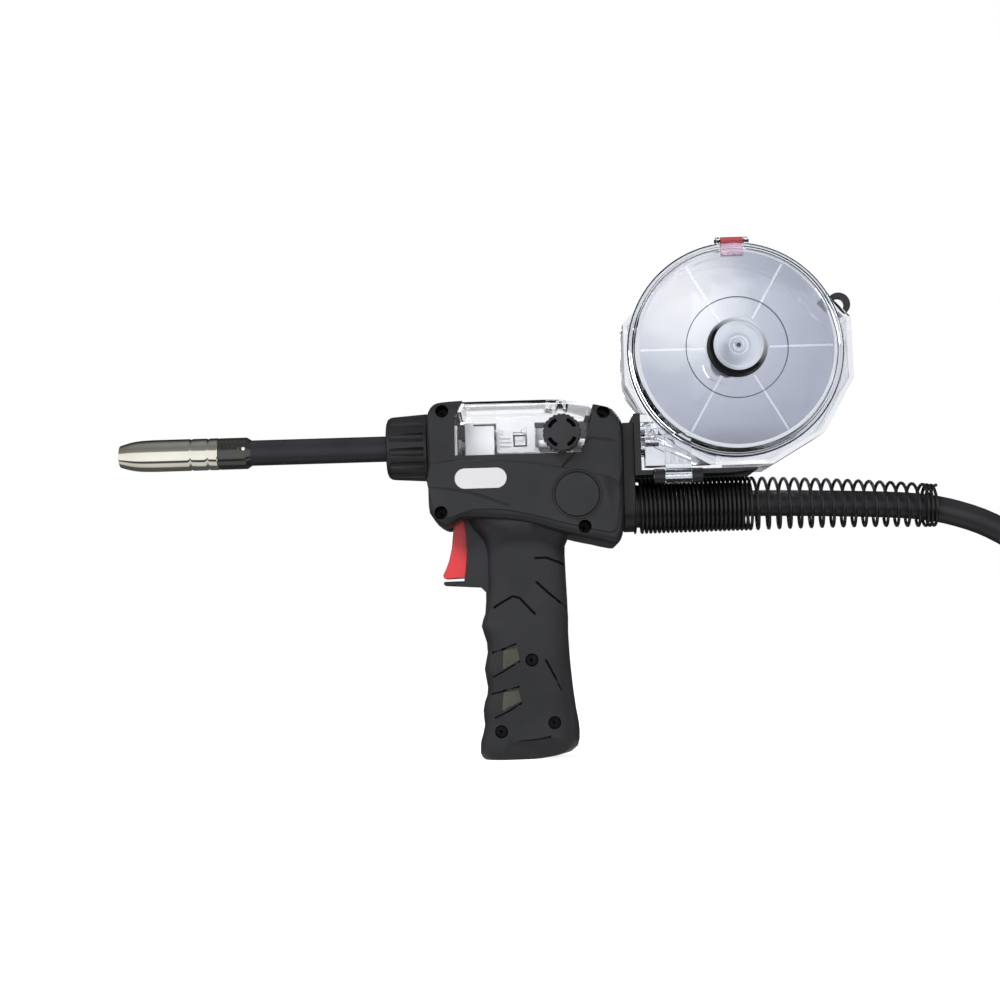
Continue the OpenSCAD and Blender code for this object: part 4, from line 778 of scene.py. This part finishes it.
def screw_head_tree():
    """Round heads with a crossed slot, one at each point of the mesh, turned to face one way."""
    nodes, given = growth_tree("crossed screw heads", [
        ("Head Radius", "Float", 0.003), ("Head Height", "Float", 0.0008),
        ("Slot Width", "Float", 0.0007), ("Slot Length", "Float", 0.0038),
        ("Turn", "Vector", None)])
    wide, long, tall = given["Slot Width"], given["Slot Length"], given["Head Height"]
    head = nodes.add("GeometryNodeMeshCylinder",
                     {"Vertices": 40, "Radius": given["Head Radius"], "Depth": tall})
    cuts = nodes.add("GeometryNodeMeshBoolean", {"Mesh 1": head.outputs["Mesh"]},
                     operation="DIFFERENCE")
    lift = nodes.add("ShaderNodeCombineXYZ", {2: nodes.reckon("MULTIPLY", tall, 0.55)})
    for sizes in ((wide, long), (long, wide)):
        size = nodes.add("ShaderNodeCombineXYZ", {0: sizes[0], 1: sizes[1], 2: tall})
        bar = nodes.add("GeometryNodeMeshCube", {"Size": size.outputs[0]})
        raised = nodes.add("GeometryNodeTransform", {"Geometry": bar.outputs["Mesh"],
                                                     "Translation": lift.outputs[0]})
        nodes.put(cuts, "Mesh 2", raised.outputs["Geometry"])
    return repeat(nodes, given, cuts.outputs["Mesh"], given["Turn"])


def bar_tree():
    """The same small bar at each point of the mesh."""
    nodes, given = growth_tree("repeated bars", [("Bar Size", "Vector", None)])
    bar = nodes.add("GeometryNodeMeshCube", {"Size": given["Bar Size"]})
    return repeat(nodes, given, bar.outputs["Mesh"])


def grown(name, places, tree, **values):
    """Runs a node tree on a mesh of bare points and keeps the plain result."""
    mesh = bpy.data.meshes.new(name)
    mesh.from_pydata([Vector(q) * MM for q in places], [], [])
    piece = link(name, mesh)
    grow = piece.modifiers.new("grow", "NODES")
    grow.node_group = tree
    sockets = {item.name: item.identifier for item in tree.interface.items_tree
               if item.in_out == "INPUT"}
    for label, value in values.items():
        grow[sockets[label.replace("_", " ")]] = value
    graph = bpy.context.evaluated_depsgraph_get()
    piece.data = bpy.data.meshes.new_from_object(piece.evaluated_get(graph))
    piece.modifiers.clear()
    smooth(piece.data)
    return piece


HEADS, BARS = screw_head_tree(), bar_tree()
HOUSING_SCREWS = [(-42.4, 188.8), (-44.2, 133.7), (33, 124.1), (44.9, 185.9), (2.4, 53.3),
                  (-15.1, 15.2), (13.7, 19.3)]
HOUSING_SCREW_SEAT = -12.08
BRACKET_SCREWS = [(y, BARREL_Z + dz) for y in (-13, 13) for dz in (5.5, -5)]
HEAD_PROUD = 0.38
HOUSING_HEAD_R, BRACKET_HEAD_R = 0.00285, 0.0029


def make_screw_heads():
    heads = grown("housing_screw_heads", [(x, HOUSING_SCREW_SEAT, z) for x, z in HOUSING_SCREWS],
                  HEADS, Head_Radius=HOUSING_HEAD_R, Turn=(math.pi / 2, 0.4, 0.0),
                  Finish=BLACK_SCREW)
    belong(heads, "housing_screws")
    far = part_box("bracket_screws")[1][0] / MM + HEAD_PROUD
    heads = grown("bracket_screw_heads", [(far, y, z) for y, z in BRACKET_SCREWS], HEADS,
                  Head_Radius=BRACKET_HEAD_R, Turn=(0.0, math.pi / 2, 0.0), Finish=STEEL)
    belong(heads, "bracket_screws")


ARM_FACE = (-8.0, 177.6)
ARM_RIBS_X, ARM_RIBS_Z, ARM_RIB_SIZE = -8.6, (170.9, 173.1, 175.2), (0.0062, 0.0006, 0.00045)
FRAME_AT, FRAME_HALF, FRAME_LINE, FRAME_DEEP, FRAME_PROUD = (-0.4, 173.9), (3.3, 2.9), 0.7, 0.6, 0.1


def mark_pressure_arm():
    """Moulded lines and a dark square outline on the face of the pressure arm."""
    y = skin_of(bpy.data.objects["pressure_roll_arm"])(*ARM_FACE) - FRAME_PROUD
    ribs = grown("pressure_arm_ribs", [(ARM_RIBS_X, y, z) for z in ARM_RIBS_Z], BARS,
                 Bar_Size=ARM_RIB_SIZE, Finish=MOULD_LINE)
    belong(ribs, "pressure_arm")
    (x, z), (wide, tall), line = FRAME_AT, FRAME_HALF, FRAME_LINE
    level = (2 * wide + line, FRAME_DEEP, line)
    upright = (line, FRAME_DEEP, 2 * tall - line)
    edges = [((x, y, z + tall), level), ((x, y, z - tall), level),
             ((x - wide, y, z), upright), ((x + wide, y, z), upright)]
    for k, (place, size) in enumerate(edges):
        bar = grown(f"pressure_arm_frame_{k + 1}", [place], BARS,
                    Bar_Size=tuple(v * MM for v in size), Finish=SATIN)
        belong(bar, "pressure_arm")


mark_pressure_arm()
make_screw_heads()

# ---- Rings on the lid

LID_FRONT, BOSS_RISE = -30.0, 6.4
LINE_R, BOSS_RINGS = (27.3, 27.8), (2.7, 5.0, 11.6)


def make_lid_rings():
    """The ring line moulded in the lid's web, dark with painted shade, and the small rings and the
    pip on its boss.
    """
    centre = (CAN_X, 0, CAN_Z)
    inner, outer = LINE_R
    front, face = LID_FRONT, LID_FRONT - BOSS_RISE
    rows = [(front - 0.06, inner), (front - 0.06, outer), (front + 0.35, outer),
            (front + 0.35, inner)]
    # The ring line's dark colour is painted shade.
    belong(lathe("lid_ring_line", rows, DARK_LINE_PLASTIC, centre, "Y"), "canister_lid")
    for k, radius in enumerate(BOSS_RINGS):
        rows = [(face - 0.12, radius - 0.1), (face - 0.12, radius + 0.1),
                (face + 0.05, radius + 0.22), (face + 0.05, radius - 0.22)]
        ring = lathe(f"lid_boss_ring_{k + 1}", rows, FROSTED, centre, "Y", 96)
        belong(ring, "canister_lid")
    rows = [(face - 0.5, 0.05), (face - 0.45, 0.6), (face - 0.15, 1.15), (face + 0.1, 1.3),
            (face + 0.1, 0.05)]
    belong(lathe("lid_moulding_pip", rows, DARK_LINE_PLASTIC, centre, "Y", 48), "canister_lid")


make_lid_rings()

# ---- Lead: from the gland, down to the surface, into its coil and to the plug

LEAD_D = 14.5
COIL_X, COIL_R, COIL_STEP, COIL_TURNS, LAYER = 369.0, 83.0, 15.2, 5.5, 15.1
COIL_TOP, TURN_POINTS = LEAD_D / 2 + 3 * LAYER, 32
PLUG_Y, PLUG_Z, TAIL_RUN = -2 * COIL_R, 21.4, 31.5
HANGING = [
    (57, 136.1), (90, 136.1), (123, 136.1), (145, 135.6), (165, 134.9), (185, 134), (203, 133),
    (216, 131.9), (229, 129.9), (241, 126.7), (253, 122.3), (264, 116.6), (275, 109.5),
    (285, 100.3), (293.4, 88.9), (300.8, 77.8), (309.4, 69), (319.4, 61.9), (330.5, 56.8),
    (342.2, 53.7), (354.4, COIL_TOP),
]


def coil_point(turn):
    """The coil has four layers: it winds in, out, in and out again on its way down."""
    layer = COIL_TURNS / 4
    inwards = turn % (2 * layer)
    radius = COIL_R - COIL_STEP * min(inwards, 2 * layer - inwards)
    height = COIL_TOP
    for k in (1, 2, 3):
        part = min(max(turn - k * layer + 0.25, 0.0), 0.5)
        height -= LAYER * (1 - math.cos(2 * math.pi * part)) / 2
    angle = 2 * math.pi * turn
    return (COIL_X + radius * math.sin(angle), radius * math.cos(angle) - COIL_R, height)


def eased(points, steps):
    """The same route with more points, rounded through the given ones."""
    route = []
    for i in range(len(points) - 1):
        a = Vector(points[max(i - 1, 0)])
        b, c = Vector(points[i]), Vector(points[i + 1])
        d = Vector(points[min(i + 2, len(points) - 1)])
        for k in range(steps):
            t = k / steps
            route.append(0.5 * (2 * b + (c - a) * t + (2 * a - 5 * b + 4 * c - d) * t ** 2
                                + (3 * b - a - 3 * c + d) * t ** 3))
    return route + [Vector(points[-1])]


def make_lead():
    route = eased([(x, 0.0, z) for x, z in HANGING], 2)
    coil = [coil_point(i / TURN_POINTS) for i in range(int(COIL_TURNS * TURN_POINTS) + 1)]
    rise = PLUG_Z - LEAD_D / 2
    tail = [(COIL_X - LEAD_D - TAIL_RUN * k / 3, PLUG_Y, LEAD_D / 2 + rise * k / 3)
            for k in range(4)]
    points = [Vector(p) for p in route + coil + tail]
    lead = tube("gun_lead", points, LEAD_D / 2, RUBBER)
    belong(lead, "power_cable", "power_cable", "cable_coil", "cable_tail")


make_lead()

# ---- Studio

# Brightness by height, from -1 straight down to 1 straight up: what gloss mirrors, and what
# shows through clear plastic.
MIRRORED = [(-1.0, 0.7), (0.0, 1.2), (0.30, 1.2), (0.42, 0.30), (0.75, 0.22), (1.0, 0.30)]
SEEN_THROUGH = [(-1.0, 1.0), (-0.1, 1.0), (0.33, 1.0), (0.5, 0.68), (0.9, 0.58), (1.0, 0.66)]
ROOM_LIGHT = (0.17, 0.17, 0.18, 1)
BEHIND, BEHIND_FROM = 0.12, 0.6
# The floor as gloss mirrors it, by Y in metres.
FLOOR_MIRRORED = [(-0.19, 1.2), (-0.172, 0.05), (-0.104, 0.05), (-0.080, 0.80), (0.0, 0.70),
                  (0.03, 0.08)]
FLOOR_FRONT, FLOOR_BACK, FLOOR_HALF = -0.25, 0.05, 12.0
# How white the floor is to the eye: distance from the gun in metres, and strength.
NEAR_WHITE, FAR_WHITE = (0.45, 0.84), (2.5, 1.1)
LAMP_AIM = Vector((0, 0, 0.15))


def sky_shade(sky, stops, behind=1.0):
    """Brightness that changes with height and fades behind the gun."""
    place = sky.add("ShaderNodeTexCoord").outputs["Generated"]
    split = sky.add("ShaderNodeSeparateXYZ", {0: place}).outputs
    colour = sky.ramp(sky.spread(split["Z"], 0.0, 1.0, -1.0, 1.0),
                      [((level + 1) / 2, (shade, shade, shade)) for level, shade in stops])
    fade = sky.spread(split["Y"], 1.0, behind, 0.0, BEHIND_FROM)
    return sky.add("ShaderNodeBackground", {"Color": colour, "Strength": fade})


def make_world():
    """White to the eye; a bright horizon under a dark ceiling for what reflects and refracts."""
    world = bpy.data.worlds.new("studio")
    bpy.context.scene.world = world
    world.use_nodes = True
    world.node_tree.nodes.clear()
    sky = Nodes(world.node_tree)
    rays = sky.add("ShaderNodeLightPath").outputs
    white = sky.add("ShaderNodeBackground", {"Color": (1, 1, 1, 1)})
    shade = sky.add("ShaderNodeBackground", {"Color": ROOM_LIGHT})
    for kind, layer in (("Is Glossy Ray", sky_shade(sky, MIRRORED, BEHIND)),
                        ("Is Transmission Ray", sky_shade(sky, SEEN_THROUGH)),
                        ("Is Camera Ray", white)):
        shade = sky.add("ShaderNodeMixShader",
                        {0: rays[kind], 1: shade.outputs[0], 2: layer.outputs[0]})
    sky.add("ShaderNodeOutputWorld", {0: shade.outputs[0]})


def make_floor():
    """Pale floor that keeps shadows, and gives gloss its own bright and dark bands."""
    half = FLOOR_HALF
    mesh = bpy.data.meshes.new("floor")
    mesh.from_pydata([(-half, -half, 0), (half, -half, 0), (half, half, 0), (-half, half, 0)], [],
                     [(0, 1, 2, 3)])
    floor = link("floor", mesh)
    f = Finish("floor paint")
    rays = f.add("ShaderNodeLightPath").outputs
    seen = f.reckon("MAXIMUM", rays["Is Camera Ray"], rays["Is Transmission Ray"])
    across = f.add("ShaderNodeSeparateXYZ", {0: f.place}).outputs["Y"]
    bands = f.ramp(f.spread(across, 0.0, 1.0, FLOOR_FRONT, FLOOR_BACK),
                   [((y - FLOOR_FRONT) / (FLOOR_BACK - FLOOR_FRONT), (shade, shade, shade))
                    for y, shade in FLOOR_MIRRORED])
    mirrored = f.reckon("MULTIPLY", rays["Is Glossy Ray"], bands)
    away = f.vector("LENGTH", {0: f.place}, "Value")
    (near, near_white), (far, far_white) = NEAR_WHITE, FAR_WHITE
    white = f.spread(away, near_white, far_white, near, far)
    glow = f.reckon("MULTIPLY_ADD", seen, white, mirrored)
    f.set(Base_Color=f.shades(rays["Is Glossy Ray"], (0.42, 0.42, 0.42), (0.02, 0.02, 0.02),
                              0.0, 1.0),
          Roughness=1.0, Specular_IOR_Level=0.0, Emission_Color=(1, 1, 1, 1),
          Emission_Strength=glow)
    mesh.materials.append(f.material)


def lamp(name, place, width, height, power):
    """A soft box that faces the gun's middle."""
    data = bpy.data.lights.new(name, "AREA")
    data.shape = "RECTANGLE"
    data.size, data.size_y, data.energy = width, height, power
    light = link(name, data)
    light.location = place
    aim = LAMP_AIM - Vector(place)
    light.rotation_euler = aim.to_track_quat("-Z", "Y").to_euler()
    light.visible_glossy = False


make_world()
make_floor()
lamp("key", (-0.60, -1.05, 1.05), 0.6, 0.45, 26.0)
lamp("front fill", (0.55, -1.5, 0.5), 0.9, 0.7, 5.0)
lamp("overhead", (0.0, 0.1, 1.35), 1.0, 0.5, 9.0)
lamp("rim", (0.9, 1.0, 0.7), 0.7, 0.5, 6.0)

bpy.context.scene.view_settings.view_transform = "Standard"
